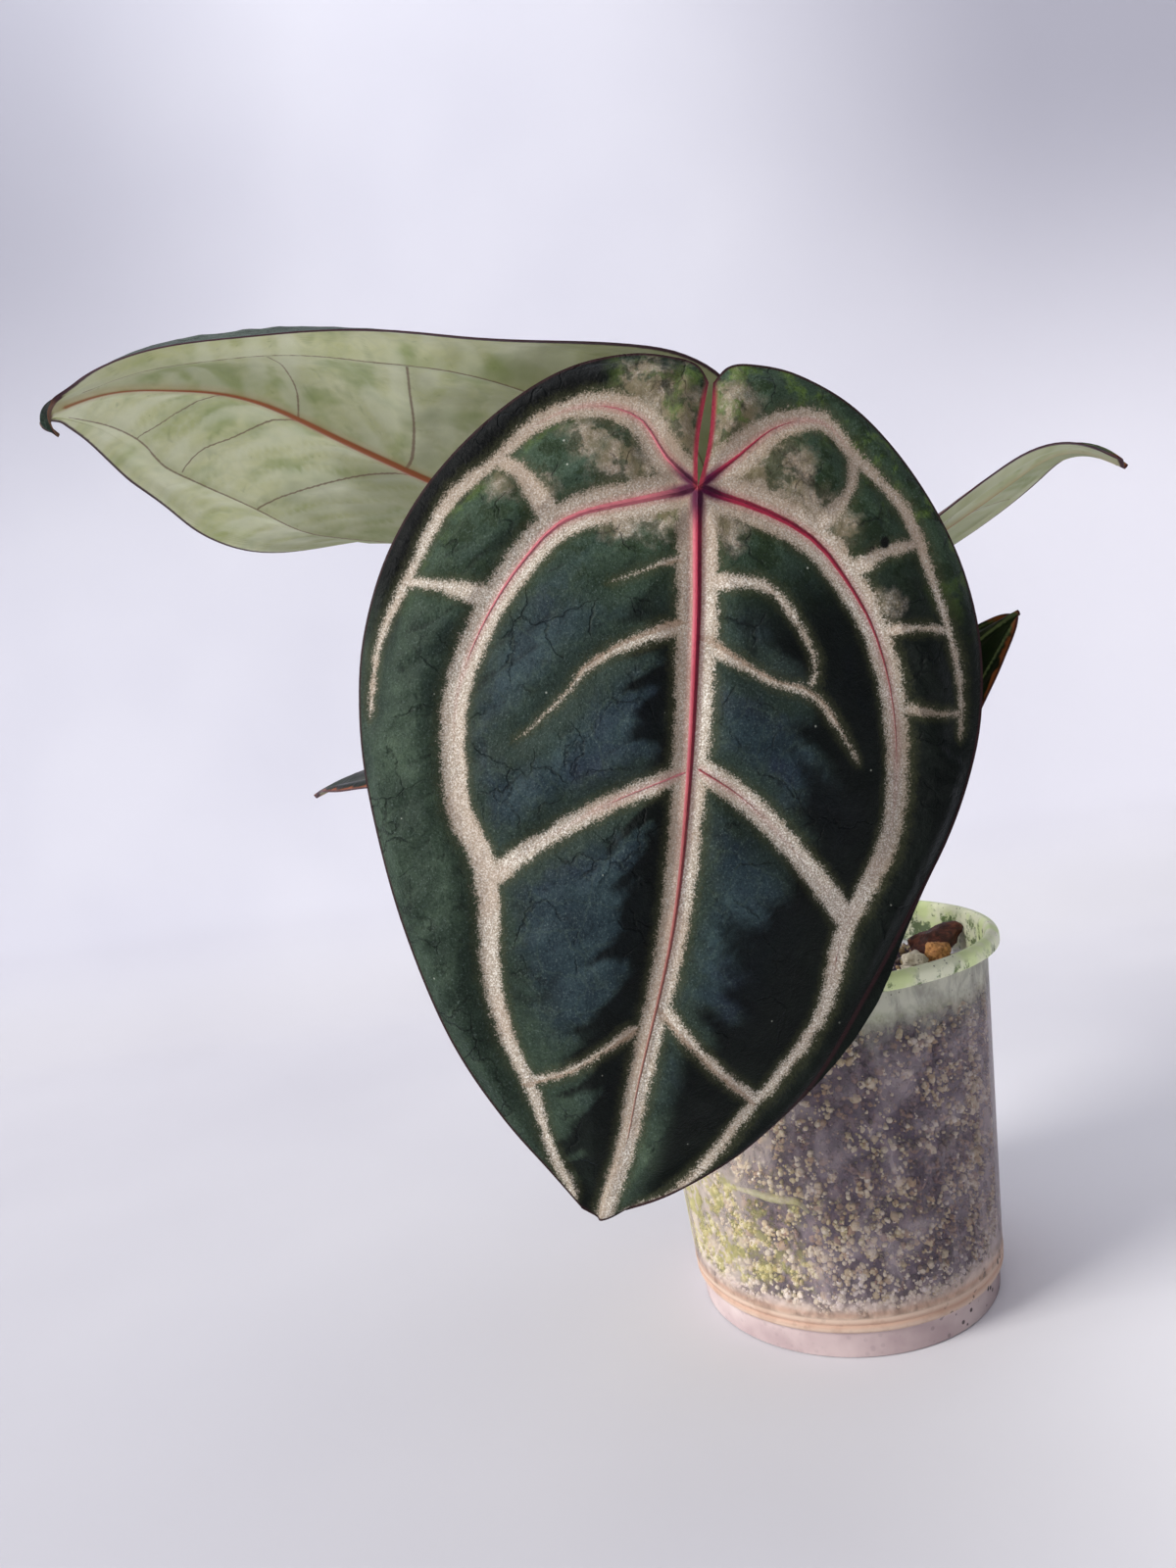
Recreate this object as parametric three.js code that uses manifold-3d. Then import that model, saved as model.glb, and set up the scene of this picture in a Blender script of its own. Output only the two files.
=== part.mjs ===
// Potted hybrid anthurium: a clear cup of bark and perlite, a short rooted crown
// and five heart-shaped leaves, each on its own petiole. Millimetres, +Z up.
import * as THREE from 'three';
import { ConvexGeometry } from 'three/addons/geometries/ConvexGeometry.js';
import { mergeVertices } from 'three/addons/utils/BufferGeometryUtils.js';
import manifoldModule from 'manifold-3d';

const manifold = await manifoldModule();
manifold.setup();
const { Manifold, Mesh: SolidMesh } = manifold;

// The cup.
const CUP_HEIGHT = 112.5;
const RIM_RADIUS = 58.5;
const LIP_HEIGHT = 4.5;
const LIP_REACH = 3.6;
const FOOT_RADIUS = 47.1;
const FOOT_HEIGHT = 8.5;
const CUP_WALL = 0.9;
const CUP_FACETS = 54;

// The soil and what stands in it.
const SOIL_LEVEL = 98;
const CROWN_RADIUS = 10;
const CROWN_TOP = 104;
const CROWN_DEPTH = 34;
const GAP = 0.3;

// The blades.
const BLADE_THICKNESS = 0.8;
const RIB_HEIGHT = 1.1;
const COLLECTIVE_VEIN_RING = 0.87;
const MARGIN_WAVE = 0.6;

// One half of a blade drawn flat: x across, y from the petiole towards the tip.
const DRAWN_LENGTH = 182;
const DRAWN_HALF_WIDTH = 80;
const SINUS_EDGE = [[0, 0], [0.9, -7], [1.1, -14], [0.5, -24.5]];
const MARGIN = [
  [0.5, -24.5], [3.5, -28.5], [9, -30], [20, -29.8], [34, -25.5], [47, -17],
  [60, -4.5], [70, 9], [77, 25], [80, 43], [79, 59], [75, 76], [67, 96],
  [57, 116], [43, 139], [28, 157], [14, 170.5], [5, 178.5],
];
const TIP = [[5, 178.5], [2.5, 180.5], [0, 182]];
const LATERAL_VEIN = [
  [0, 0], [12, 3.5], [24, 7.5], [36, 16], [45, 28], [50.5, 43], [52, 60], [50, 80],
  [45, 98], [39, 117], [32, 134], [24, 149], [14, 164], [5, 178.5],
];
const LATERAL_BOW = 0.6;

// Where the rays of a blade lie between the sinus, the lateral vein and the midrib.
const FINE_RAYS = {
  outer: [0, 0.035, 0.07, 0.12, 0.18, 0.24, 0.31, 0.38, 0.46, 0.54, 0.63, 0.73, 0.84, 0.95, 1],
  inner: [0, 0.045, 0.25, 0.5, 0.75, 0.955, 1],
  rings: 16,
};
const COARSE_RAYS = {
  outer: [0, 0.06, 0.13, 0.22, 0.33, 0.46, 0.62, 0.79, 0.94, 1],
  inner: [0, 0.06, 0.36, 0.7, 0.94, 1],
  rings: 10,
};

// Each leaf: where its petiole meets the blade, the way to its tip, the way its upper
// face looks, how far the midrib has bent down at parts of the length, and how far the
// blade droops across, at the midrib and at the margin, near the base and at the tip.
// bow is how far the veins lean to the right, fuller is how far each side bulges near
// the tip, sway is how far the whole blade bends sideways.
const LEAVES = {
  front: {
    attach: [-28, -86, 242.2],
    toTip: [-45.8, -3, -169],
    facing: [0, -1, 0.1],
    length: 186,
    width: 0.98,
    bend: [[-0.38, -14], [0, -3], [0.54, 3], [1, 18]],
    left: { base: [2, 22], tip: [2, 22] },
    right: { base: [2, 22], tip: [2, 22] },
    twist: 0,
    bow: -7,
    fuller: { left: 7.5, right: 0 },
    sway: 0,
    rays: FINE_RAYS,
    petiole: [[-11, -13, 135], [-33, -32, 182], [-37, -58, 224]],
    startAngle: -90,
    thickness: 5.2,
  },
  back_left: {
    attach: [-50.2, 54.3, 254.1],
    toTip: [-0.7, -0.58, 0.42],
    facing: [0.29, 0.31, 0.91],
    length: 192.6,
    width: 1.14,
    bend: [[-0.31, -1.6], [0, 0], [0.55, 3.3], [0.8, 32.5], [1, 53.8]],
    left: { base: [4, -35.6], tip: [4, 54] },
    right: { base: [4, -44.3], tip: [4, 61] },
    twist: -8,
    bow: 0,
    fuller: { left: 0, right: 0 },
    sway: 10.7,
    rays: FINE_RAYS,
    petiole: [[-13, 27, 145], [-33, 47, 198]],
    startAngle: 125,
    thickness: 5.2,
  },
  right_upper: {
    attach: [-6, 23.1, 197.4],
    toTip: [0.67, -0.51, 0.54],
    facing: [-0.56, 0.13, 0.82],
    length: 136.9,
    width: 0.95,
    bend: [[-0.44, -5], [0, 0], [0.5, 10], [0.78, 7.7], [1, 80.9]],
    left: { base: [-1.8, 8.5], tip: [-1.8, 14.7] },
    right: { base: [-1.1, 11.1], tip: [-1.1, 11.7] },
    twist: 9.5,
    bow: 0,
    fuller: { left: 0, right: 0 },
    sway: 0.7,
    rays: COARSE_RAYS,
    petiole: [[5, 13, 130], [3, 20, 165]],
    startAngle: 55,
    thickness: 4.2,
  },
  right_middle: {
    attach: [15.5, -3, 163.4],
    toTip: [0.68, -0.33, 0.65],
    facing: [-0.72, -0.44, 0.53],
    length: 72.9,
    width: 0.94,
    bend: [[-0.8, -2.8], [0, 0], [0.5, 5.6], [0.78, 9.4], [1, 21]],
    left: { base: [12, 15], tip: [12, 14.5] },
    right: { base: [9.5, 8.5], tip: [9.5, 9.5] },
    twist: 8,
    bow: 0,
    fuller: { left: 0, right: 0 },
    sway: 0,
    rays: COARSE_RAYS,
    petiole: [[12, 0, 125], [22, 2, 148]],
    startAngle: -18,
    thickness: 3.4,
  },
  left_low: {
    attach: [-70.1, 8.1, 186.8],
    toTip: [-0.97, 0.25, 0.06],
    facing: [0.03, -0.11, 0.99],
    length: 93.5,
    width: 0.95,
    bend: [[-0.64, -2.3], [0, 0], [0.5, 4.6], [0.78, 15.6], [1, 29.5]],
    left: { base: [4, 11], tip: [4, 14.5] },
    right: { base: [4, 12], tip: [4, 15] },
    twist: 2,
    bow: 0,
    fuller: { left: 0, right: 0 },
    sway: 0,
    rays: COARSE_RAYS,
    petiole: [[-14, 2, 135], [-38, 6, 165]],
    startAngle: 198,
    thickness: 3.6,
  },
};

// Chunks lying on the soil: middle, size, turn about Z and tilt in degrees.
const CHUNKS = {
  bark_chip_large: { at: [43.8, 7.4, 104], size: [20.5, 10.5, 8.6], turn: 8, tilt: -8, colour: 0x5a3226 },
  bark_chip_left: { at: [-31, 16, 100], size: [21, 12, 6], turn: 120, tilt: -10, colour: 0x4d2d24 },
  bark_chip_back: { at: [-4, 36, 100], size: [23, 13, 7], turn: 20, tilt: 8, colour: 0x55332a },
  bark_chip_front: { at: [8, -35, 100], size: [22, 12, 6], turn: -25, tilt: 9, colour: 0x50302a },
  tan_stone: { at: [40.3, -3.6, 102], size: [11.5, 9, 7.4], turn: 30, tilt: 0, colour: 0xa8693a },
  pumice_middle: { at: [31.5, -8.5, 102.2], size: [9, 8, 8.8], turn: 0, tilt: 0, colour: 0xd6ccb8 },
  pumice_right: { at: [26.5, -17, 101], size: [8.5, 7.5, 8.2], turn: 70, tilt: 0, colour: 0xcfc3ac },
  pumice_front: { at: [-16, -32, 100.5], size: [9, 8, 7], turn: 10, tilt: 0, colour: 0xd3c9b4 },
  pumice_left: { at: [-38, -8, 100.5], size: [11, 8, 7], turn: 50, tilt: 0, colour: 0xcdbfa4 },
};

const FIRST_CHUNK_SEED = 31;

// Roots that leave the crown, arch over the soil and go down into it.
const ROOTS = [
  [[7, -6, 97], [14, -13, 103.5], [21, -20, 101], [24, -24, 90]],
  [[-8, -4, 98], [-16, -8, 104.5], [-24, -16, 102], [-27, -21, 90]],
  [[-3, 8, 97], [-10, 18, 103.5], [-17, 27, 101], [-19, 31, 90]],
];
const ROOT_RADIUS = 1.6;

function seededRandom(seed) {
  let state = seed;
  return () => {
    state = (Math.imul(state, 1664525) + 1013904223) >>> 0;
    return state / 4294967296;
  };
}

function triangleMesh(positions, indices) {
  const geometry = new THREE.BufferGeometry();
  geometry.setAttribute('position', new THREE.Float32BufferAttribute(positions, 3));
  geometry.setIndex(indices);
  geometry.computeVertexNormals();
  return geometry;
}

function toSolid(geometry) {
  const plain = geometry.clone();
  plain.deleteAttribute('normal');
  plain.deleteAttribute('uv');
  const merged = mergeVertices(plain, 1e-4);
  return new Manifold(new SolidMesh({
    numProp: 3,
    vertProperties: Float32Array.from(merged.attributes.position.array),
    triVerts: Uint32Array.from(merged.index.array),
  }));
}

function toGeometry(solid) {
  const mesh = solid.getMesh();
  return triangleMesh(Array.from(mesh.vertProperties), Array.from(mesh.triVerts));
}

function part(name, geometry, colour, look = {}) {
  const material = new THREE.MeshStandardMaterial({ color: colour, roughness: 0.6, ...look });
  const mesh = new THREE.Mesh(geometry, material);
  mesh.name = name;
  return mesh;
}

function cupGeometry() {
  const inside = RIM_RADIUS - LIP_REACH - CUP_WALL;
  const lipBottom = CUP_HEIGHT - LIP_HEIGHT;
  const profile = [
    [0, FOOT_HEIGHT],
    [FOOT_RADIUS - 1.6, FOOT_HEIGHT],
    [FOOT_RADIUS - CUP_WALL - 0.3, FOOT_HEIGHT - 1.2],
    [FOOT_RADIUS - CUP_WALL, 0],
    [FOOT_RADIUS, 0],
    [FOOT_RADIUS + 0.5, FOOT_HEIGHT - 1],
    [FOOT_RADIUS + 1.5, FOOT_HEIGHT + 0.2],
    [FOOT_RADIUS + 2, FOOT_HEIGHT + 4],
    [inside + CUP_WALL, lipBottom + 0.4],
    [inside + CUP_WALL + 0.6, CUP_HEIGHT - 1.8],
    [RIM_RADIUS - CUP_WALL, CUP_HEIGHT - 2],
    [RIM_RADIUS - CUP_WALL, lipBottom],
    [RIM_RADIUS, lipBottom],
    [RIM_RADIUS, CUP_HEIGHT - 1.4],
    [RIM_RADIUS - 1.3, CUP_HEIGHT],
    [inside + 1.2, CUP_HEIGHT],
    [inside + 0.3, CUP_HEIGHT - 1.4],
    [inside, lipBottom - 1],
    [FOOT_RADIUS + 1.1, FOOT_HEIGHT + 4],
    [FOOT_RADIUS + 0.3, FOOT_HEIGHT + 2],
    [FOOT_RADIUS - 1, FOOT_HEIGHT + 1],
    [0, FOOT_HEIGHT + 1],
  ];
  const points = profile.map(([r, z]) => new THREE.Vector2(r, z));
  points.push(points[0].clone());
  return new THREE.LatheGeometry(points, CUP_FACETS).rotateX(Math.PI / 2);
}

// The wall's inner radius at a height, a little inside the cup's facets.
function soilRadius(z) {
  const bottom = FOOT_HEIGHT + 4;
  const top = CUP_HEIGHT - LIP_HEIGHT - 1;
  const inside = RIM_RADIUS - LIP_REACH - CUP_WALL;
  return THREE.MathUtils.mapLinear(z, bottom, top, FOOT_RADIUS + 1.1, inside) - GAP - 0.1;
}

function soilGeometry() {
  const random = seededRandom(11);
  const around = 42;
  const bottom = FOOT_HEIGHT + 1 + GAP;
  const rows = [];
  rows.push({ radius: FOOT_RADIUS - 4, z: bottom, rough: 0 });
  const sideRows = 10;
  for (let row = 0; row <= sideRows; row += 1) {
    const z = THREE.MathUtils.lerp(bottom + 4, SOIL_LEVEL - 2, row / sideRows);
    rows.push({ radius: soilRadius(z), z, rough: 0.9 });
  }
  for (const radius of [49, 41, 33, 25, 17]) {
    rows.push({ radius, z: SOIL_LEVEL, rough: 1.5, top: true });
  }
  const positions = [0, 0, bottom];
  for (const { radius, z, rough, top } of rows) {
    for (let column = 0; column < around; column += 1) {
      const angle = (2 * Math.PI * column) / around;
      const reach = top ? radius : radius - rough * random();
      const height = top ? z + rough * (2 * random() - 1) : z;
      positions.push(reach * Math.cos(angle), reach * Math.sin(angle), height);
    }
  }
  positions.push(0, 0, SOIL_LEVEL);
  const indices = [];
  const last = positions.length / 3 - 1;
  for (let column = 0; column < around; column += 1) {
    const next = (column + 1) % around;
    indices.push(0, 1 + next, 1 + column);
    for (let row = 0; row < rows.length - 1; row += 1) {
      const a = 1 + row * around + column;
      const b = 1 + row * around + next;
      indices.push(a, b, a + around, b, b + around, a + around);
    }
    const lastRow = 1 + (rows.length - 1) * around;
    indices.push(lastRow + column, lastRow + next, last);
  }
  return triangleMesh(positions, indices);
}

// A round tube along a smooth path with a radius that changes along it, closed flat.
function tubeGeometry(points, radiusAt, steps, sides) {
  const path = new THREE.CatmullRomCurve3(points.map((p) => new THREE.Vector3(...p)));
  const { normals, binormals } = path.computeFrenetFrames(steps, false);
  const positions = [];
  for (let step = 0; step <= steps; step += 1) {
    const centre = path.getPointAt(step / steps);
    const radius = radiusAt(step / steps);
    for (let side = 0; side < sides; side += 1) {
      const angle = (2 * Math.PI * side) / sides;
      const point = centre.clone()
        .addScaledVector(normals[step], radius * Math.cos(angle))
        .addScaledVector(binormals[step], radius * Math.sin(angle));
      positions.push(...point.toArray());
    }
  }
  positions.push(...path.getPointAt(0).toArray(), ...path.getPointAt(1).toArray());
  const start = (steps + 1) * sides;
  const indices = [];
  for (let side = 0; side < sides; side += 1) {
    const next = (side + 1) % sides;
    for (let step = 0; step < steps; step += 1) {
      const a = step * sides + side;
      const b = step * sides + next;
      indices.push(a, b, a + sides, b, b + sides, a + sides);
    }
    indices.push(start, next, side);
    indices.push(start + 1, steps * sides + side, steps * sides + next);
  }
  return triangleMesh(positions, indices);
}

function rootSolids(radius) {
  return ROOTS.map((points) => toSolid(tubeGeometry(points, () => radius, 12, 8)));
}

// The crown is a ringed stub with dry pointed sheaths around it and roots from its side.
function crownSolid() {
  const foot = CROWN_TOP - CROWN_DEPTH;
  const profile = [
    [0, foot], [CROWN_RADIUS - 3, foot], [CROWN_RADIUS - 1, foot + 4],
    [CROWN_RADIUS, SOIL_LEVEL - 3], [CROWN_RADIUS - 0.8, SOIL_LEVEL + 2],
    [CROWN_RADIUS - 0.2, SOIL_LEVEL + 3.2], [CROWN_RADIUS - 0.6, CROWN_TOP], [0, CROWN_TOP],
  ];
  const points = profile.map(([r, z]) => new THREE.Vector2(r, z));
  let solid = toSolid(new THREE.LatheGeometry(points, 24).rotateX(Math.PI / 2));
  for (const [turn, height] of [[20, 17], [165, 13], [268, 15]]) {
    const sheath = new THREE.ConeGeometry(3.2, height, 8)
      .scale(1, 1, 0.45)
      .rotateX(Math.PI / 2)
      .rotateX(THREE.MathUtils.degToRad(-14))
      .translate(0, CROWN_RADIUS - 0.4, CROWN_TOP + height / 2 - 7)
      .rotateZ(THREE.MathUtils.degToRad(turn - 90));
    solid = solid.add(toSolid(sheath));
  }
  return rootSolids(ROOT_RADIUS).reduce((sum, root) => sum.add(root), solid);
}

// A rounded lump of bark or stone: the hull of seeded points on an ellipsoid.
function chunkGeometry({ at, size, turn, tilt }, seed, margin) {
  const random = seededRandom(seed);
  const points = [];
  for (let count = 0; count < 22; count += 1) {
    const lift = 2 * random() - 1;
    const angle = 2 * Math.PI * random();
    const round = (1 - lift ** 2) ** 0.35;
    points.push(new THREE.Vector3(
      (size[0] / 2 + margin) * round * Math.cos(angle),
      (size[1] / 2 + margin) * round * Math.sin(angle),
      (size[2] / 2 + margin) * lift,
    ));
  }
  return new ConvexGeometry(points)
    .rotateY(THREE.MathUtils.degToRad(tilt))
    .rotateZ(THREE.MathUtils.degToRad(turn))
    .translate(...at);
}

// The blade's spokes run from the petiole to the margin; between two of them the rays
// blend from one to the other and are pushed out to reach the margin between them.
function bladeRays(leaf) {
  const scale = leaf.length / DRAWN_LENGTH;
  const half = (side, fuller) => {
    const curve = (outline, bow) => {
      const drawn = new THREE.SplineCurve(outline.map(([x, y]) => {
        const shift = bow * Math.sin((Math.PI * Math.max(y, 0)) / DRAWN_LENGTH);
        const nearTip = Math.max(0, (2 * y) / DRAWN_LENGTH - 1);
        const swell = x > 0 ? fuller * Math.sin(Math.PI * nearTip ** 2) : 0;
        return new THREE.Vector2(side * (x * scale * leaf.width + swell) + shift, y * scale);
      }));
      drawn.arcLengthDivisions = 400;
      return drawn;
    };
    const midribPoints = [0, 0.2, 0.4, 0.6, 0.8, 1].map((t) => [0, t * DRAWN_LENGTH]);
    const spokes = [
      curve(SINUS_EDGE, 0), curve(LATERAL_VEIN, leaf.bow * LATERAL_BOW),
      curve(midribPoints, leaf.bow),
    ];
    const arcs = [curve(MARGIN, 0), curve(TIP, 0)];
    const rays = [];
    [leaf.rays.outer, leaf.rays.inner].forEach((places, sector) => {
      for (const place of places.slice(sector)) {
        const onVein = place === 1;
        const ray = { points: [], onVein, outer: sector === 0 && place > 0.03 && place < 0.97 };
        for (let ring = 0; ring <= leaf.rays.rings; ring += 1) {
          const reach = ringReach(ring, leaf.rays.rings);
          const blend = spokes[sector].getPointAt(reach).lerp(spokes[sector + 1].getPointAt(reach), place);
          const straight = spokes[sector].getPointAt(1).lerp(spokes[sector + 1].getPointAt(1), place);
          const push = arcs[sector].getPointAt(place).sub(straight);
          ray.points.push(blend.addScaledVector(push, reach));
        }
        rays.push(ray);
      }
    });
    return rays;
  };
  const right = half(1, leaf.fuller.right);
  const left = half(-1, leaf.fuller.left);
  return [...left, ...right.slice(0, -1).reverse()];
}

// The last three rings lie on the collective vein, just outside it and on the margin.
function ringReach(ring, rings) {
  if (ring > rings - 2) {
    return ring === rings ? 1 : COLLECTIVE_VEIN_RING + 0.04;
  }
  return (COLLECTIVE_VEIN_RING * ring) / (rings - 2);
}

function stationAngle(stations, t) {
  const above = stations.findIndex(([place]) => place >= t);
  if (above === 0) {
    return stations[0][1];
  }
  if (above < 0) {
    return stations[stations.length - 1][1];
  }
  const [t0, a0] = stations[above - 1];
  const [t1, a1] = stations[above];
  return THREE.MathUtils.lerp(a0, a1, THREE.MathUtils.smoothstep(t, t0, t1));
}

// Returns the function that carries a flat blade point (x, y) to its bent place.
function bladeBender(leaf) {
  const { lerp, clamp, degToRad } = THREE.MathUtils;
  const step = leaf.length / 200;
  const walk = (direction, reach) => {
    const places = [{ y: 0, z: 0, angle: degToRad(stationAngle(leaf.bend, 0)) }];
    for (let s = 1; s * step <= reach * leaf.length; s += 1) {
      const angle = degToRad(stationAngle(leaf.bend, (direction * s * step) / leaf.length));
      const before = places[places.length - 1];
      places.push({
        y: before.y + direction * step * Math.cos(angle),
        z: before.z - direction * step * Math.sin(angle),
        angle,
      });
    }
    return places;
  };
  const forwards = walk(1, 1.05);
  const backwards = walk(-1, 0.35);
  const midribAt = (y) => {
    const places = y < 0 ? backwards : forwards;
    const at = Math.min(Math.abs(y) / step, places.length - 1.001);
    const low = places[Math.floor(at)];
    const high = places[Math.floor(at) + 1];
    const part = at - Math.floor(at);
    return {
      y: lerp(low.y, high.y, part),
      z: lerp(low.z, high.z, part),
      angle: lerp(low.angle, high.angle, part),
    };
  };
  const halfWidth = (DRAWN_HALF_WIDTH * leaf.length) / DRAWN_LENGTH;
  return (x, y) => {
    const t = clamp(y / leaf.length, -0.2, 1.05);
    const { base, tip } = x < 0 ? leaf.left : leaf.right;
    const inner = degToRad(lerp(base[0], tip[0], t));
    const outer = degToRad(lerp(base[1], tip[1], t));
    let across = 0;
    let height = 0;
    for (let s = 0; s < 8; s += 1) {
      const angle = inner + ((outer - inner) * (s + 0.5) * Math.abs(x)) / (8 * halfWidth);
      across += (Math.cos(angle) * x) / 8;
      height -= (Math.sin(angle) * Math.abs(x)) / 8;
    }
    const twist = degToRad(leaf.twist * t);
    const sway = leaf.sway * Math.sin(Math.PI * clamp(y / leaf.length, 0, 1));
    const rolledX = across * Math.cos(twist) - height * Math.sin(twist) + sway;
    const rolledZ = across * Math.sin(twist) + height * Math.cos(twist);
    const midrib = midribAt(y);
    return new THREE.Vector3(
      rolledX,
      midrib.y + rolledZ * Math.sin(midrib.angle),
      midrib.z + rolledZ * Math.cos(midrib.angle),
    );
  };
}

function bladeGeometry(leaf) {
  const bent = bladeBender(leaf);
  const rays = bladeRays(leaf);
  const { rings } = leaf.rays;
  const top = [];
  const under = [];
  const addPoint = ({ x, y }, ray, ring) => {
    const reach = ringReach(ring, rings);
    const place = bent(x, y);
    const acrossStep = bent(x + 0.5, y).sub(bent(x - 0.5, y));
    const alongStep = bent(x, y + 0.5).sub(bent(x, y - 0.5));
    const normal = acrossStep.cross(alongStep).normalize();
    const wave = MARGIN_WAVE * reach ** 4 * Math.sin((14 * Math.PI * ray) / rays.length);
    const vein = rays[ray].onVein ? Math.min(1, 6 * reach) * (1 - 0.85 * reach) : 0;
    const ringVein = rays[ray].outer && ring === rings - 2 ? 0.35 : 0;
    const rib = RIB_HEIGHT * Math.max(vein, ringVein);
    top.push(place.clone().addScaledVector(normal, wave + BLADE_THICKNESS / 2 - 0.1 * rib));
    under.push(place.clone().addScaledVector(normal, wave - BLADE_THICKNESS / 2 - rib));
  };
  addPoint(rays[0].points[0], 0, 0);
  rays.forEach((ray, index) => {
    ray.points.slice(1).forEach((point, ring) => addPoint(point, index, ring + 1));
  });
  const below = top.length;
  const vertex = (ray, ring) => (ring === 0 ? 0 : 1 + ray * rings + ring - 1);
  const indices = [];
  const addBoth = (a, b, c) => indices.push(a, c, b, below + a, below + b, below + c);
  for (let ray = 0; ray < rays.length - 1; ray += 1) {
    addBoth(0, vertex(ray, 1), vertex(ray + 1, 1));
    for (let ring = 1; ring < rings; ring += 1) {
      const a = vertex(ray, ring);
      const b = vertex(ray + 1, ring);
      addBoth(a, a + 1, b + 1);
      addBoth(a, b + 1, b);
    }
  }
  const border = [];
  for (let ring = 0; ring <= rings; ring += 1) {
    border.push(vertex(0, ring));
  }
  for (let ray = 1; ray < rays.length; ray += 1) {
    border.push(vertex(ray, rings));
  }
  for (let ring = rings - 1; ring > 0; ring -= 1) {
    border.push(vertex(rays.length - 1, ring));
  }
  border.forEach((a, index) => {
    const b = border[(index + 1) % border.length];
    indices.push(a, b, below + a, b, below + b, below + a);
  });
  return triangleMesh([...top, ...under].flatMap((p) => p.toArray()), indices);
}

function leafBasis(leaf) {
  const along = new THREE.Vector3(...leaf.toTip).normalize();
  const facing = new THREE.Vector3(...leaf.facing);
  facing.addScaledVector(along, -facing.dot(along)).normalize();
  const across = new THREE.Vector3().crossVectors(along, facing);
  return { across, along, facing };
}

// The petiole swells where it leaves the crown and again at the joint below the blade.
function petioleGeometry(leaf) {
  const { along, facing } = leafBasis(leaf);
  const attach = new THREE.Vector3(...leaf.attach);
  const under = (distance, forward) => attach.clone()
    .addScaledVector(facing, -distance).addScaledVector(along, forward).toArray();
  const angle = THREE.MathUtils.degToRad(leaf.startAngle);
  const ring = CROWN_RADIUS - 4;
  const start = [ring * Math.cos(angle), ring * Math.sin(angle), CROWN_TOP + GAP];
  const raised = [start[0], start[1], CROWN_TOP + 6];
  const points = [start, raised, ...leaf.petiole, under(12, -1.5), under(1.15, 1.2)];
  const radius = leaf.thickness / 2;
  const radiusAt = (t) => {
    const foot = 0.14 * Math.exp(-t * 18);
    const joint = 0.12 * Math.exp(-(((t - 0.95) / 0.04) ** 2));
    return radius * (1 - 0.22 * t + foot + joint);
  };
  return tubeGeometry(points, radiusAt, 18, 8);
}

function leafMesh(name, leaf) {
  const { across, along, facing } = leafBasis(leaf);
  const mesh = part(`leaf_${name}`, bladeGeometry(leaf), 0x22392f, { roughness: 0.75 });
  mesh.quaternion.setFromRotationMatrix(new THREE.Matrix4().makeBasis(across, along, facing));
  mesh.position.set(...leaf.attach);
  return mesh;
}

const plant = new THREE.Group();
plant.name = 'potted_anthurium_hybrid';
plant.add(part('cup', cupGeometry(), 0xd9dccf, { transparent: true, opacity: 0.35, roughness: 0.3 }));

// The soil has a hole for the crown, for each root and for the part of a chunk in it.
const holeDepth = CROWN_DEPTH + 20;
const crownHole = new THREE.CylinderGeometry(CROWN_RADIUS + GAP, CROWN_RADIUS + GAP, holeDepth, 24)
  .rotateX(Math.PI / 2)
  .translate(0, 0, CROWN_TOP - CROWN_DEPTH - GAP + holeDepth / 2);
let soil = toSolid(soilGeometry()).subtract(toSolid(crownHole));
for (const root of rootSolids(ROOT_RADIUS + GAP)) {
  soil = soil.subtract(root);
}
Object.entries(CHUNKS).forEach(([name, chunk], index) => {
  const seed = FIRST_CHUNK_SEED + index;
  soil = soil.subtract(toSolid(chunkGeometry(chunk, seed, GAP)));
  plant.add(part(name, chunkGeometry(chunk, seed, 0), chunk.colour, { roughness: 0.9 }));
});
plant.add(part('soil', toGeometry(soil), 0x4a3840, { roughness: 0.95 }));
plant.add(part('crown', toGeometry(crownSolid()), 0x6d5a3c, { roughness: 0.8 }));
for (const [name, leaf] of Object.entries(LEAVES)) {
  plant.add(part(`petiole_${name}`, petioleGeometry(leaf), 0x6f7a48));
  plant.add(leafMesh(name, leaf));
}

// The origin is the middle of the whole plant's footprint, at the foot of the cup.
const bounds = new THREE.Box3().setFromObject(plant, true);
const middle = bounds.getCenter(new THREE.Vector3());
plant.position.set(-middle.x, -middle.y, -bounds.min.z);

const root = new THREE.Group();
root.name = 'potted_anthurium';
root.add(plant);
export default root;
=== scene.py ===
# Potted hybrid anthurium: five heart-shaped leaves over a clear cup of bark and perlite.
# Metres, +Z up. The plant's own sizes are in millimetres from the cup's axis.
import math

import bpy
import numpy as np
from mathutils import Matrix, Vector, noise


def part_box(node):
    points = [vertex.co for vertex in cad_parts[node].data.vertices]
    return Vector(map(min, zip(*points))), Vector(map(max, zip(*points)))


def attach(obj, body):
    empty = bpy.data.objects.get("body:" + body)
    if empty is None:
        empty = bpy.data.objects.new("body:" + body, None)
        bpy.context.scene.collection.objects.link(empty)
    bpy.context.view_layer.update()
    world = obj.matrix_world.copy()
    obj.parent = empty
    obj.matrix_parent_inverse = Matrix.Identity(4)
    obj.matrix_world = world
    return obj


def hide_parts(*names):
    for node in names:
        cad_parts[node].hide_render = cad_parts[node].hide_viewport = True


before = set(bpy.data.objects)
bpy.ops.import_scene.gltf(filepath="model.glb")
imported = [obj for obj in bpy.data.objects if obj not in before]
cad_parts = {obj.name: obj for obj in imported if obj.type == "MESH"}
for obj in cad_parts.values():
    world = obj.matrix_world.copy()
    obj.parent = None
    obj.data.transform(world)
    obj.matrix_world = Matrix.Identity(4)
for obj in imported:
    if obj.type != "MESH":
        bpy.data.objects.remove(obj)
bpy.ops.object.select_all(action="DESELECT")
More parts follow.
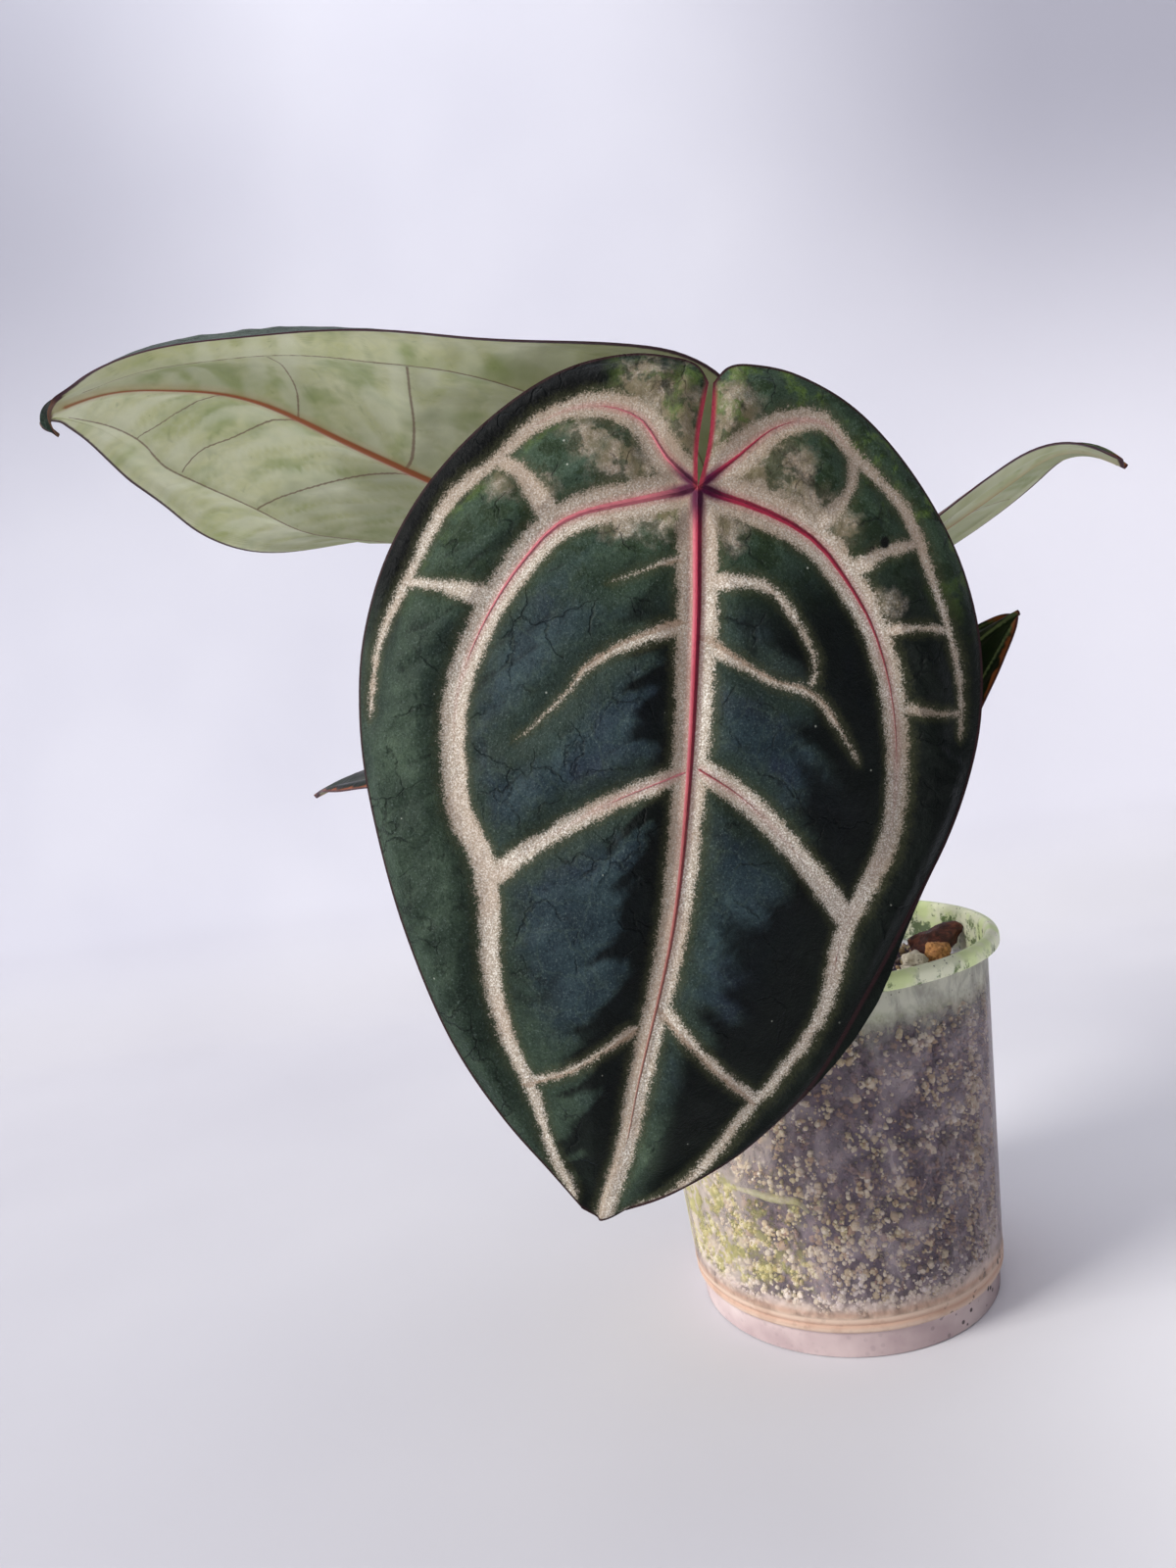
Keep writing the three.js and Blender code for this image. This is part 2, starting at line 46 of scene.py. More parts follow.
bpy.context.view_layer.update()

MM = 0.001
cup_low, cup_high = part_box("cup")
POT_AXIS = Vector(((cup_low.x + cup_high.x) / 2, (cup_low.y + cup_high.y) / 2, 0))

# The cup
CUP_HEIGHT = 112.5
RIM_RADIUS = 58.5
LIP_HEIGHT = 4.5
LIP_REACH = 3.6
FOOT_RADIUS = 47.1
FOOT_HEIGHT = 8.5
CUP_WALL = 0.9
SOIL_LEVEL = 98

# One half of a blade drawn flat: x across, y from the petiole towards the tip
DRAWN_LENGTH = 182
DRAWN_HALF_WIDTH = 80
SINUS_EDGE = [(0, 0), (0.9, -7), (1.1, -14), (0.5, -24.5)]
MARGIN = [
    (0.5, -24.5), (3.5, -28.5), (9, -30), (20, -29.8), (34, -25.5), (47, -17),
    (60, -4.5), (70, 9), (77, 25), (80, 43), (79, 59), (75, 76), (67, 96),
    (57, 116), (43, 139), (28, 157), (14, 170.5), (5, 178.5),
]
TIP = [(5, 178.5), (2.5, 180.5), (0, 182)]
LATERAL_VEIN = [
    (0, 0), (12, 3.5), (24, 7.5), (36, 16), (45, 28), (50.5, 43), (52, 60), (50, 80),
    (45, 98), (39, 117), (32, 134), (24, 149), (14, 164), (5, 178.5),
]
LATERAL_BOW = 0.6
BLADE_THICKNESS = 0.8
MARGIN_WAVE = 0.6

# Each leaf as the solids have it: where its petiole meets the blade, the way to its tip and
# the way its upper face looks, the midrib's bend along it, and the droop of each side near
# the base and at the tip. twist turns the blade along its length, bow and sway bend it
# sideways, fuller widens a half near its tip, and drip draws out the last of the tip. rays and
# rings are how finely each half is cut.
LEAVES = {
    "front": dict(
        attach=(-28, -86, 242.2), to_tip=(-45.8, -3, -169), facing=(0, -1, 0.1),
        length=186, width=0.98, bend=[(-0.38, -14), (0, -3), (0.54, 3), (1, 18)],
        left=((2, 22), (2, 22)), right=((2, 22), (2, 22)),
        twist=0, bow=-7, fuller=(7.5, 0), sway=0, rays=(150, 50), rings=112,
    ),
    "back_left": dict(
        attach=(-50.2, 54.3, 254.1), to_tip=(-0.7, -0.58, 0.42), facing=(0.29, 0.31, 0.91),
        length=192.6, width=1.14,
        bend=[(-0.31, -1.6), (0, 0), (0.55, 3.3), (0.8, 32.5), (0.985, 53.8), (1.04, 175)], drip=8,
        left=((4, -35.6), (4, 54)), right=((4, -44.3), (4, 61)),
        twist=-8, bow=0, fuller=(0, 0), sway=10.7, rays=(120, 44), rings=100,
    ),
    "right_upper": dict(
        attach=(-6, 23.1, 197.4), to_tip=(0.67, -0.51, 0.54), facing=(-0.56, 0.13, 0.82),
        length=136.9, width=0.95, bend=[(-0.44, -5), (0, 0), (0.5, 10), (0.78, 7.7), (1, 80.9)],
        left=((-1.8, 8.5), (-1.8, 14.7)), right=((-1.1, 11.1), (-1.1, 11.7)),
        twist=9.5, bow=0, fuller=(0, 0), sway=0.7, rays=(90, 34), rings=80,
    ),
    "right_middle": dict(
        attach=(15.5, -3, 163.4), to_tip=(0.68, -0.33, 0.65), facing=(-0.72, -0.44, 0.53),
        length=72.9, width=0.94, bend=[(-0.8, -2.8), (0, 0), (0.5, 5.6), (0.78, 9.4), (1, 21)],
        left=((12, 15), (12, 14.5)), right=((9.5, 8.5), (9.5, 9.5)),
        twist=8, bow=0, fuller=(0, 0), sway=0, rays=(70, 26), rings=60,
    ),
    "left_low": dict(
        attach=(-70.1, 8.1, 186.8), to_tip=(-0.97, 0.25, 0.06), facing=(0.03, -0.11, 0.99),
        length=93.5, width=0.95, bend=[(-0.64, -2.3), (0, 0), (0.5, 4.6), (0.78, 15.6), (1, 29.5)],
        left=((4, 11), (4, 14.5)), right=((4, 12), (4, 15)),
        twist=2, bow=0, fuller=(0, 0), sway=0, rays=(70, 26), rings=60,
    ),
}

# Veins of the front leaf in mm on the flat blade. pale is half the width of the silvery band
# and core half the width of the red cord in it, at even steps from the start to the end; one
# below 0 leaves the vein without it. Veins of one group lie apart, and flip alternates where
# they are stacked.
FRONT_VEINS = [
    dict(
        group="midrib",
        points=[(0, 0), (-2, 16), (-4, 33), (-7, 70), (-8, 105), (-5, 143), (-4, 163), (-1, 185)],
        pale=[4.8, 4.7, 4.3, 3.7, 3.3, 2.8, 2.4, 1.9], core=[1.1, 1.0, 0.85, 0.65, 0.45, 0.28, 0.1, -1],
    ),
    dict(
        group="lateral",
        points=[(0, 0), (13, 4), (30, 10), (39, 20), (47, 35), (52, 52), (52, 66), (48, 84), (41, 94),
                (38, 104), (35, 123), (29, 139), (21, 152), (15, 167), (7, 179)],
        pale=[4.2, 4.3, 3.9, 3.5, 3.2, 3.0, 3.0, 3.0, 2.4, 2.0, 1.6, 1.2, 0.9],
        core=[0.95, 0.75, 0.5, 0.3, 0.1, -1, -2, -2, -2, -2, -2, -2, -2],
    ),
    dict(
        group="lateral",
        points=[(0, 0), (-17, 3), (-30, 8), (-40, 17), (-48, 27), (-55, 42), (-59, 59), (-60, 77),
                (-55, 92), (-51, 103), (-49, 122), (-40, 141), (-34, 150), (-27, 163), (-17, 176), (-6, 183)],
        pale=[4.4, 4.4, 3.9, 3.3, 2.9, 2.7, 2.5, 2.3, 2.0, 1.4, 1.1, 1.0, 0.8, 0.6],
        core=[0.95, 0.75, 0.55, 0.35, 0.15, 0, -1, -1, 0.1, -1, -2, -2, -2, -2],
    ),
    dict(
        group="middle", points=[(-6, 67), (10, 76), (25, 87), (38, 99)],
        pale=[2.0, 1.9, 1.8, 2.4], core=[0.2, 0.05, -1, -1],
    ),
    dict(
        group="middle", points=[(-9, 66), (-21, 72), (-35, 83), (-51, 98)],
        pale=[2.6, 2.5, 2.3, 2.9], core=[0.25, 0, -1, -1],
    ),
    dict(
        group="lobe",
        points=[(0, 0), (8, -6), (16, -15), (28, -17), (40, -12), (50, -2), (61, 9), (69, 28),
                (75, 45), (75, 64)],
        pale=[4.0, 4.0, 3.1, 2.0, 1.5, 1.8, 1.2, 1.1, 0.7, 0.3],
        core=[0.7, 0.3, 0.1, -1, -2, -2, -2, -2, -2, -2],
    ),
    dict(
        group="lobe",
        points=[(0, 0), (-8, -8), (-17, -17), (-28, -20), (-37, -13), (-51, -3), (-59, 9), (-67, 23),
                (-73, 37), (-75, 50)],
        pale=[4.2, 4.2, 3.0, 1.6, 1.2, 1.6, 1.0, 0.9, 0.7, 0.2],
        core=[0.8, 0.3, 0, -1, -2, -2, -2, -2, -2, -2],
    ),
    dict(group="twig", points=[(-2, 131), (5, 137), (14, 145), (23, 150)], pale=[1.3, 0.4, 0.6, 1.1]),
    dict(group="twig", points=[(-8, 125), (-20, 136), (-35, 148)], pale=[1.6, 0.9, 1.4]),
    dict(
        group="twig", flip=True, points=[(0, 33), (12, 39), (20, 45), (24, 51), (31, 60), (36, 65)],
        pale=[1.9, 1.1, 0.7, 0.3, 0, -0.5],
    ),
    dict(group="twig", points=[(2, 17), (10, 21), (18, 25)], pale=[0.6, 0, -0.5]),
    dict(
        group="link", points=[(-5, 22), (-18, 21), (-27, 28), (-33, 37), (-33, 43)],
        pale=[2.4, 1.1, 0.8, 0.4, 0.4],
    ),
    dict(
        group="twig", flip=True, points=[(-6, 36), (-13, 39), (-23, 43), (-35, 46), (-48, 60)],
        pale=[2.0, 0.7, 0.7, 0.6, -0.2],
    ),
    dict(group="link", points=[(49, -3), (42, 1), (36, 8), (32, 12)], pale=[1.8, 2.0, 2.5, 3.3]),
    dict(group="link", flip=True, points=[(69, 29), (62, 29), (54, 30), (47, 31)], pale=[1.2, 0.9, 1.8, 3.0]),
    dict(group="link", points=[(-37, -12), (-36, -4), (-32, 2), (-28, 8)], pale=[1.5, 1.0, 1.8, 3.0]),
    dict(group="link", flip=True, points=[(-55, 5), (-46, 9), (-40, 14)], pale=[1.4, 1.1, 2.4]),
    dict(group="link", points=[(-66, 24), (-58, 25), (-50, 27)], pale=[0.9, 0.4, 1.7]),
    dict(group="link", flip=True, points=[(-74, 44), (-67, 45), (-59, 45)], pale=[0.6, 0.3, 1.3]),
]

# Where the silver spreads past the bands of the front leaf, as places and their radius in mm
FRONT_WASHES = [
    (9, -1, 9), (19, -3, 6), (27, -9, 5), (6, -13, 9), (10, -21, 7), (16, -23, 6), (8, 7, 6), (17, 9, 5),
    (-12, -5, 10), (-19, -6, 8), (-27, 1, 6), (-7, -14, 8), (-5, -22, 4), (-7, 9, 5), (-36, 5, 3.5),
    (-50, 21, 2.5), (47, 4, 3), (36, 4, 3),
]

# Small black scars of the front leaf, as places and their radius in mm
FRONT_SCARS = [(-46.5, 6.1, 1.5), (-43.6, 8.2, 0.8)]

# Veins of the back leaf, whose underside shows
BACK_VEINS = [
    dict(
        group="midrib", points=[(0, 0), (0, 60), (0, 120), (0, 190)],
        pale=[5.6, 5.0, 4.2, 3.2, 2.2], core=[2.4, 2.2, 2.0, 1.8, 1.4, 0.8, 0.3, 0.15],
    ),
    dict(
        group="lateral", pale=[4.4, 4.0, 3.4, 3.0, 2.2, 1.2], core=[0.3, 0.3, 0.22, 0.2],
        points=[(0, 0), (-35, 10), (-60, 36), (-67, 70), (-64, 96), (-50, 115), (-35, 137), (-21, 158),
                (-6, 184)],
    ),
    dict(
        group="lateral", pale=[4.4, 4.0, 3.4, 3.0, 2.2, 1.2], core=[0.3, 0.3, 0.25, 0.2],
        points=[(0, 0), (30, 14), (52, 38), (62, 72), (52, 102), (46, 126), (37, 146), (23, 159), (8, 184)],
    ),
    dict(
        group="middle", points=[(0, 74), (-8, 76), (-26, 86), (-42, 97), (-56, 106)],
        pale=[2.4, 2, 2], core=[0.5, 0.3, 0.3],
    ),
    dict(
        group="middle", points=[(0, 70), (12, 81), (26, 89), (40, 96), (52, 102)],
        pale=[2.4, 2, 2], core=[0.5, 0.35, 0.3],
    ),
    dict(
        group="twig", points=[(0, 112), (-14, 120), (-26, 131), (-33, 140)],
        pale=[1.4, 1, 1], core=[0.25, 0.15, 0.1],
    ),
    dict(
        group="twig", points=[(0, 112), (8, 118), (22, 125), (32, 134), (40, 138)],
        pale=[1.4, 1, 1], core=[0.35, 0.25, 0.2],
    ),
    dict(
        group="twig", flip=True, points=[(0, 138), (14, 148), (23, 159)],
        pale=[1.2, 0.9, 0.8], core=[0.3, 0.2, 0.15],
    ),
    dict(
        group="lobe", points=[(0, 0), (-22, -18), (-48, -10), (-70, 18), (-80, 46)],
        pale=[4, 2.6, 1.6, 0.4], core=[0.4, 0.2, 0.1],
    ),
    dict(
        group="lobe", points=[(0, 0), (22, -18), (48, -10), (70, 18), (80, 46)],
        pale=[4, 2.6, 1.6, 0.4], core=[0.4, 0.2, 0.1],
    ),
]

# Half of the veins of a young leaf, mirrored across its midrib
YOUNG_HALF_VEINS = [
    dict(
        group="lateral",
        points=[(0, 0), (12, 3.5), (36, 16), (50.5, 43), (50, 80), (39, 117), (24, 149), (5, 178)],
    ),
    dict(group="lobe", points=[(0, 0), (14, -16), (36, -14), (58, 6), (70, 36), (70, 70)]),
    dict(group="middle", points=[(0, 62), (22, 78), (47, 96)]),
    dict(group="twig", points=[(0, 104), (18, 118), (34, 130)]),
    dict(group="twig", flip=True, points=[(0, 34), (18, 40), (38, 58), (51, 66)]),
]
VEIN_GROUPS = ("midrib", "lateral", "lobe", "middle", "twig", "link")

# The channel that each group of veins lies in, on a grown blade: its depth, and how wide it is
# on the side where the offset is positive and on the other, in mm
VEIN_CHANNELS = dict(
    midrib=(3.2, 15, 11), lateral=(3.4, 21, 9), lobe=(2.0, 9, 9),
    middle=(2.2, 9, 9), twig=(1.2, 6, 6), link=(1.2, 5, 5),
)
FOLD_HEIGHT = 1.2
FOLD_LEAN = math.radians(36)

FINE_STEPS = 24
DROOP_STEPS = 8


def curve_at(points, fractions):
    """Places on a smooth curve through the points, at fractions of its length."""
    points = np.asarray(points, float)
    padded = np.vstack([points[:1], points, points[-1:]])
    t = np.linspace(0, 1, FINE_STEPS, endpoint=False)[:, None]
    spans = []
    for before, start, end, after in zip(padded[:-3], padded[1:-2], padded[2:-1], padded[3:]):
        leave = (end - before) / 2
        arrive = (after - start) / 2
        cubic = 2 * start - 2 * end + leave + arrive
        square = -3 * start + 3 * end - 2 * leave - arrive
        spans.append(cubic * t**3 + square * t**2 + leave * t + start)
    fine = np.vstack(spans + [points[-1:]])
    lengths = np.concatenate([[0], np.cumsum(np.linalg.norm(np.diff(fine, axis=0), axis=1))])
    wanted = np.asarray(fractions) * lengths[-1]
    return np.column_stack([np.interp(wanted, lengths, column) for column in fine.T])


def smooth_step(low, high, value):
    t = np.clip((value - low) / (high - low), 0, 1)
    return t * t * (3 - 2 * t)


def gathered(count):
    """Places from 0 to 1 that lie closer together near both ends, where the veins are."""
    even = np.linspace(0, 1, count)
    return even - 0.75 * np.sin(2 * np.pi * even) / (2 * np.pi)


def half_blade(leaf, side):
    """Flat places on one half of a blade, as rays from the petiole to the margin."""
    scale = leaf["length"] / DRAWN_LENGTH
    fuller = leaf["fuller"][0 if side < 0 else 1]

    def drawn(outline, bow):
        x, y = np.array(outline, float).T
        lean = bow * np.sin(np.pi * np.maximum(y, 0) / DRAWN_LENGTH)
        near_tip = np.maximum(0, 2 * y / DRAWN_LENGTH - 1)
        swell = np.where(x > 0, fuller * np.sin(np.pi * near_tip**2), 0)
        return np.column_stack([side * (x * scale * leaf["width"] + swell) + lean, y * scale])

    reach = np.linspace(0, 1, leaf["rings"] + 1)
    midrib_line = [(0, t * DRAWN_LENGTH) for t in (0, 0.2, 0.4, 0.6, 0.8, 1)]
    sinus = curve_at(drawn(SINUS_EDGE, 0), reach)
    lateral = curve_at(drawn(LATERAL_VEIN, leaf["bow"] * LATERAL_BOW), reach)
    midrib = curve_at(drawn(midrib_line, leaf["bow"]), reach)

    def fan(first, second, outline, count):
        place = gathered(count)
        arc = curve_at(drawn(outline, 0), place)[:, None]
        share = place[:, None, None]
        rays = (1 - share) * first[None] + share * second[None]
        straight = (1 - share) * first[-1] + share * second[-1]
        return rays + (arc - straight) * reach[None, :, None]

    outer_count, inner_count = leaf["rays"]
    outer = fan(sinus, lateral, MARGIN, outer_count)
    inner = fan(lateral, midrib, TIP, inner_count)
    return np.concatenate([outer, inner[1:]])


def station_angle(stations, t):
    """The midrib's bend at t parts of its length, eased from one station to the next."""
    angle = np.full(np.shape(t), stations[0][1], float)
    for (t0, a0), (t1, a1) in zip(stations, stations[1:]):
        angle = np.where(t >= t0, a0 + (a1 - a0) * smooth_step(t0, t1, t), angle)
    return np.radians(angle)


def bent(leaf, flat):
    """Carries flat places in mm to their places on the bent blade, in mm from the cup's axis."""
    x, y = flat[:, 0], flat[:, 1]
    length = leaf["length"]
    track = np.linspace(-0.4 * length, 1.2 * length, 400)
    turn = station_angle(leaf["bend"], track / length)
    middle = (turn[1:] + turn[:-1]) / 2
    pace = track[1] - track[0]
    forward = np.concatenate([[0], np.cumsum(np.cos(middle) * pace)])
    rise = np.concatenate([[0], np.cumsum(-np.sin(middle) * pace)])
    forward -= np.interp(0, track, forward)
    rise -= np.interp(0, track, rise)

    t = np.clip(y / length, -0.2, 1.05)
    base, tip = (np.where(x[:, None] < 0, leaf["left"][k], leaf["right"][k]) for k in (0, 1))
    inner, outer = np.radians(base + (tip - base) * t[:, None]).T
    half_width = DRAWN_HALF_WIDTH * length / DRAWN_LENGTH
    across = np.zeros(len(x))
    height = np.zeros(len(x))
    for step in range(DROOP_STEPS):
        angle = inner + (outer - inner) * (step + 0.5) / DROOP_STEPS * np.abs(x) / half_width
        across += np.cos(angle) * x / DROOP_STEPS
        height -= np.sin(angle) * np.abs(x) / DROOP_STEPS
    twist = np.radians(leaf["twist"]) * t
    sway = leaf["sway"] * np.sin(np.pi * np.clip(y / length, 0, 1))
    rolled = across * np.cos(twist) - height * np.sin(twist) + sway
    lifted = across * np.sin(twist) + height * np.cos(twist)
    angle = np.interp(y, track, turn)
    local = np.column_stack([
        rolled,
        np.interp(y, track, forward) + lifted * np.sin(angle),
        np.interp(y, track, rise) + lifted * np.cos(angle),
    ])
    along = np.array(leaf["to_tip"], float)
    along /= np.linalg.norm(along)
    facing = np.array(leaf["facing"], float)
    facing -= (facing @ along) * along
    facing /= np.linalg.norm(facing)
    return np.array(leaf["attach"]) + local @ np.array([np.cross(along, facing), along, facing])


def beside(flat, line):
    """Each flat place's signed offset from a line, how far past an end of the line it is, and
    how far along the line its nearest place is."""
    spans = np.linalg.norm(np.diff(line, axis=0), axis=1)
    starts = np.concatenate([[0], np.cumsum(spans)])
    nearest = np.full(len(flat), 1e6)
    offset, past, place = np.zeros((3, len(flat)))
    last = len(spans) - 1
    for index, (start, end, before, span) in enumerate(zip(line[:-1], line[1:], starts, spans)):
        way = (end - start) / span
        to_place = flat - start
        free_run = to_place @ way
        run = np.clip(free_run, 0, span)
        distance = np.linalg.norm(to_place - run[:, None] * way, axis=1)
        closer = distance < nearest
        nearest[closer] = distance[closer]
        offset[closer] = (way[0] * to_place[:, 1] - way[1] * to_place[:, 0])[closer]
        over = np.where(index == 0, np.maximum(0, -free_run), 0)
        over = np.where(index == last, np.maximum(over, free_run - span), over)
        past[closer] = over[closer]
        place[closer] = (before + run[closer]) / starts[-1]
    return nearest, offset, past, place


def stations(values, place):
    return np.interp(place, np.linspace(0, 1, len(values)), values)


def vein_fields(flat, veins):
    """What the blade's finish reads at each place, in mm. For each group of veins: the signed
    offset from the nearest one, and half the width of its band and of its cord there."""
    fields = {"fine": np.full(len(flat), 60.0)}
    nearest_in = {group: np.full(len(flat), 1e6) for group in VEIN_GROUPS}
    for group in VEIN_GROUPS:
        fields[f"{group}_off"] = np.full(len(flat), 60.0)
        fields[f"{group}_pale"] = np.full(len(flat), -9.0)
        fields[f"{group}_core"] = np.full(len(flat), -9.0)
    for vein in veins:
        group = vein["group"]
        nearest, offset, past, place = beside(flat, curve_at(vein["points"], np.linspace(0, 1, 40)))
        side = math.copysign(1, vein["points"][-1][0]) * (-1 if vein.get("flip") else 1)
        closer = nearest < nearest_in[group]
        nearest_in[group][closer] = nearest[closer]
        fields[f"{group}_off"][closer] = side * offset[closer]
        for part in ("pale", "core"):
            half_width = stations(vein[part], place) if part in vein else np.full(len(flat), -9.0)
            far = np.maximum(0, nearest - half_width - 3.5)
            fields[f"{group}_{part}"][closer] = (half_width - past - far)[closer]
        fields["fine"] = np.minimum(fields["fine"], nearest)
    return fields, nearest_in


def folds(flat):
    """Creases that run out and down from the midrib: 0 in a crease and about 1 between two."""
    height = []
    for x, y in flat:
        along = abs(x) * math.cos(FOLD_LEAN) + y * math.sin(FOLD_LEAN)
        across = y * math.cos(FOLD_LEAN) - abs(x) * math.sin(FOLD_LEAN)
        bent_across = across + 4 * noise.noise(Vector((x / 26, y / 26, 7)))
        wide = noise.noise(Vector((along / 30, bent_across / 8, 2 if x > 0 else 5)))
        fine = noise.noise(Vector((along / 12, bent_across / 5, 9)))
        height.append(min(1, 2.2 * abs(wide)) * 0.75 + min(1, 2.2 * abs(fine)) * 0.25)
    return np.array(height)


def young_veins(leaf):
    """A young leaf's veins at its own size: a slim pale line on each."""
    scale = leaf["length"] / DRAWN_LENGTH
    middle = [(0, part * leaf["length"]) for part in (0, 0.5, 1)]
    veins = [dict(group="midrib", points=middle, pale=[1.0, 0.7, 0.3], core=[0.5, 0.35, 0.15])]
    for side in (-1, 1):
        for half in YOUNG_HALF_VEINS:
            placed = [(side * x * scale * leaf["width"], y * scale) for x, y in half["points"]]
            veins.append(dict(half, points=placed, pale=[0.5, 0.35, 0.15], core=[0.25, 0.2, 0.1]))
    return veins


def wash_field(flat, washes):
    """How deep inside the nearest wash each flat place is, in mm."""
    depth = np.full(len(flat), -20.0)
    for x, y, radius in washes:
        depth = np.maximum(depth, radius - np.hypot(flat[:, 0] - x, flat[:, 1] - y))
    return depth


def srgb(red, green, blue):
    """A colour as the eye reads it, 0 to 255, as linear light."""
    def linear(value):
        value /= 255
        return value / 12.92 if value <= 0.04045 else ((value + 0.055) / 1.055) ** 2.4
    return (linear(red), linear(green), linear(blue), 1)


class Finish:
    """Builds one material. A socket given as an input is linked, and a value is set."""

    def __init__(self, name):
        self.material = bpy.data.materials.new(name)
        self.material.use_nodes = True
        self.tree = self.material.node_tree
        self.shader = self.tree.nodes["Principled BSDF"]
        self.output = self.tree.nodes["Material Output"]
        self.object = self.add("ShaderNodeTexCoord").outputs["Object"]

    def set(self, node, inputs):
        for name, value in inputs.items():
            if isinstance(value, bpy.types.NodeSocket):
                self.tree.links.new(value, node.inputs[name])
            else:
                node.inputs[name].default_value = value
        return node

    def add(self, kind, inputs=None, **settings):
        node = self.tree.nodes.new(kind)
        for name, value in settings.items():
            setattr(node, name, value)
        return self.set(node, inputs or {})

    def placed(self, shift=(0, 0, 0), stretch=(1, 1, 1)):
        """Object coordinates moved by shift, in metres, and stretched."""
        moved = self.add("ShaderNodeVectorMath", {0: self.object, 1: shift}, operation="ADD").outputs[0]
        return self.add("ShaderNodeVectorMath", {0: moved, 1: stretch}, operation="MULTIPLY").outputs[0]

    def noise(self, size, detail=2.0, roughness=0.5, distortion=0.0, where=None):
        """Noise whose features are about size millimetres wide."""
        node = self.add("ShaderNodeTexNoise", {
            "Vector": where or self.object, "Scale": 1 / (size * MM), "Detail": detail,
            "Roughness": roughness, "Distortion": distortion,
        })
        return node.outputs["Fac"]

    def cells(self, size, feature="F1", where=None):
        """Distances in a pattern of cells about size millimetres wide."""
        node = self.add("ShaderNodeTexVoronoi", {
            "Vector": where or self.object, "Scale": 1 / (size * MM),
        }, feature=feature)
        return node.outputs["Distance"]

    def wandering(self, size, amount):
        """Object coordinates pushed about by noise, amount millimetres at most."""
        drift = self.add("ShaderNodeTexNoise", {
            "Vector": self.object, "Scale": 1 / (size * MM), "Detail": 3.0,
        })
        centred = self.add("ShaderNodeVectorMath", {
            0: drift.outputs["Color"], 1: (0.5,) * 3,
        }, operation="SUBTRACT")
        moved = self.add("ShaderNodeVectorMath", {
            0: centred.outputs[0], 1: (amount * MM,) * 3, 2: self.object,
        }, operation="MULTIPLY_ADD")
        return moved.outputs[0]

    def field(self, name):
        return self.add("ShaderNodeAttribute", attribute_name=name).outputs["Fac"]

    def math(self, operation, first, second=0.0, third=0.0):
        node = self.add("ShaderNodeMath", {0: first, 1: second, 2: third}, operation=operation)
        return node.outputs[0]

    def times(self, product, *factors):
        for factor in factors:
            product = self.math("MULTIPLY", product, factor)
        return product

    def most(self, largest, *others):
        for other in others:
            largest = self.math("MAXIMUM", largest, other)
        return largest

    def swing(self, *settings):
        """Noise that swings about 0."""
        return self.math("SUBTRACT", self.noise(*settings), 0.5)

    def pushed(self, value, swing, amount):
        """A value pushed up and down by a swing, to fray an even border."""
        return self.math("MULTIPLY_ADD", swing, amount, value)

    def blend(self, share, first, second):
        """Puts a mix of two shaders on the surface, with share of the second."""
        mixer = self.add("ShaderNodeMixShader", {0: share, 1: first, 2: second})
        self.tree.links.new(mixer.outputs[0], self.output.inputs["Surface"])

    def depth(self, part, groups):
        """How deep inside the band or the cord of the nearest vein, in mm."""
        deepest = None
        for group in groups:
            beside_it = self.math("ABSOLUTE", self.field(f"{group}_off"))
            found = self.math("SUBTRACT", self.field(f"{group}_{part}"), beside_it)
            deepest = found if deepest is None else self.math("MAXIMUM", deepest, found)
        return deepest

    def spread(self, value, low, high, bottom=0.0, top=1.0):
        """Carries value from low..high to bottom..top, eased and clamped."""
        node = self.add("ShaderNodeMapRange", {
            "Value": value, "From Min": low, "From Max": high, "To Min": bottom, "To Max": top,
        }, interpolation_type="SMOOTHSTEP")
        return node.outputs["Result"]

    def zone(self, field, *limits):
        """A spread of one of the mesh's own fields."""
        return self.spread(self.field(field), *limits)

    def mix(self, factor, first, second, how="MIX"):
        node = self.add("ShaderNodeMix", data_type="RGBA", blend_type=how)
        for place, value in ((0, factor), (6, first), (7, second)):
            if isinstance(value, bpy.types.NodeSocket):
                self.tree.links.new(value, node.inputs[place])
            else:
                node.inputs[place].default_value = value
        return node.outputs[2]

    def ramp(self, value, stops):
        node = self.add("ShaderNodeValToRGB", {"Fac": value})
        elements = node.color_ramp.elements
        while len(elements) < len(stops):
            elements.new(0.5)
        for element, (place, colour) in zip(elements, stops):
            element.position = place
            element.color = srgb(*colour)
        return node.outputs["Color"]

    def height(self):
        return self.add("ShaderNodeSeparateXYZ", {0: self.object}).outputs["Z"]

    def bump(self, height, distance, strength=1.0, under=None):
        """A relief of distance millimetres, on top of another one if it is given."""
        inputs = {"Height": height, "Distance": distance * MM, "Strength": strength}
        if under is not None:
            inputs["Normal"] = under
        return self.add("ShaderNodeBump", inputs).outputs["Normal"]

    def principled(self, **inputs):
        self.set(self.shader, {name.replace("_", " "): value for name, value in inputs.items()})

    def through(self, colour, share, normal):
        """Mixes a share of light that passes through a thin blade into the surface."""
        glow = self.add("ShaderNodeBsdfTranslucent", {"Color": colour, "Normal": normal})
        self.blend(share, self.shader.outputs[0], glow.outputs[0])


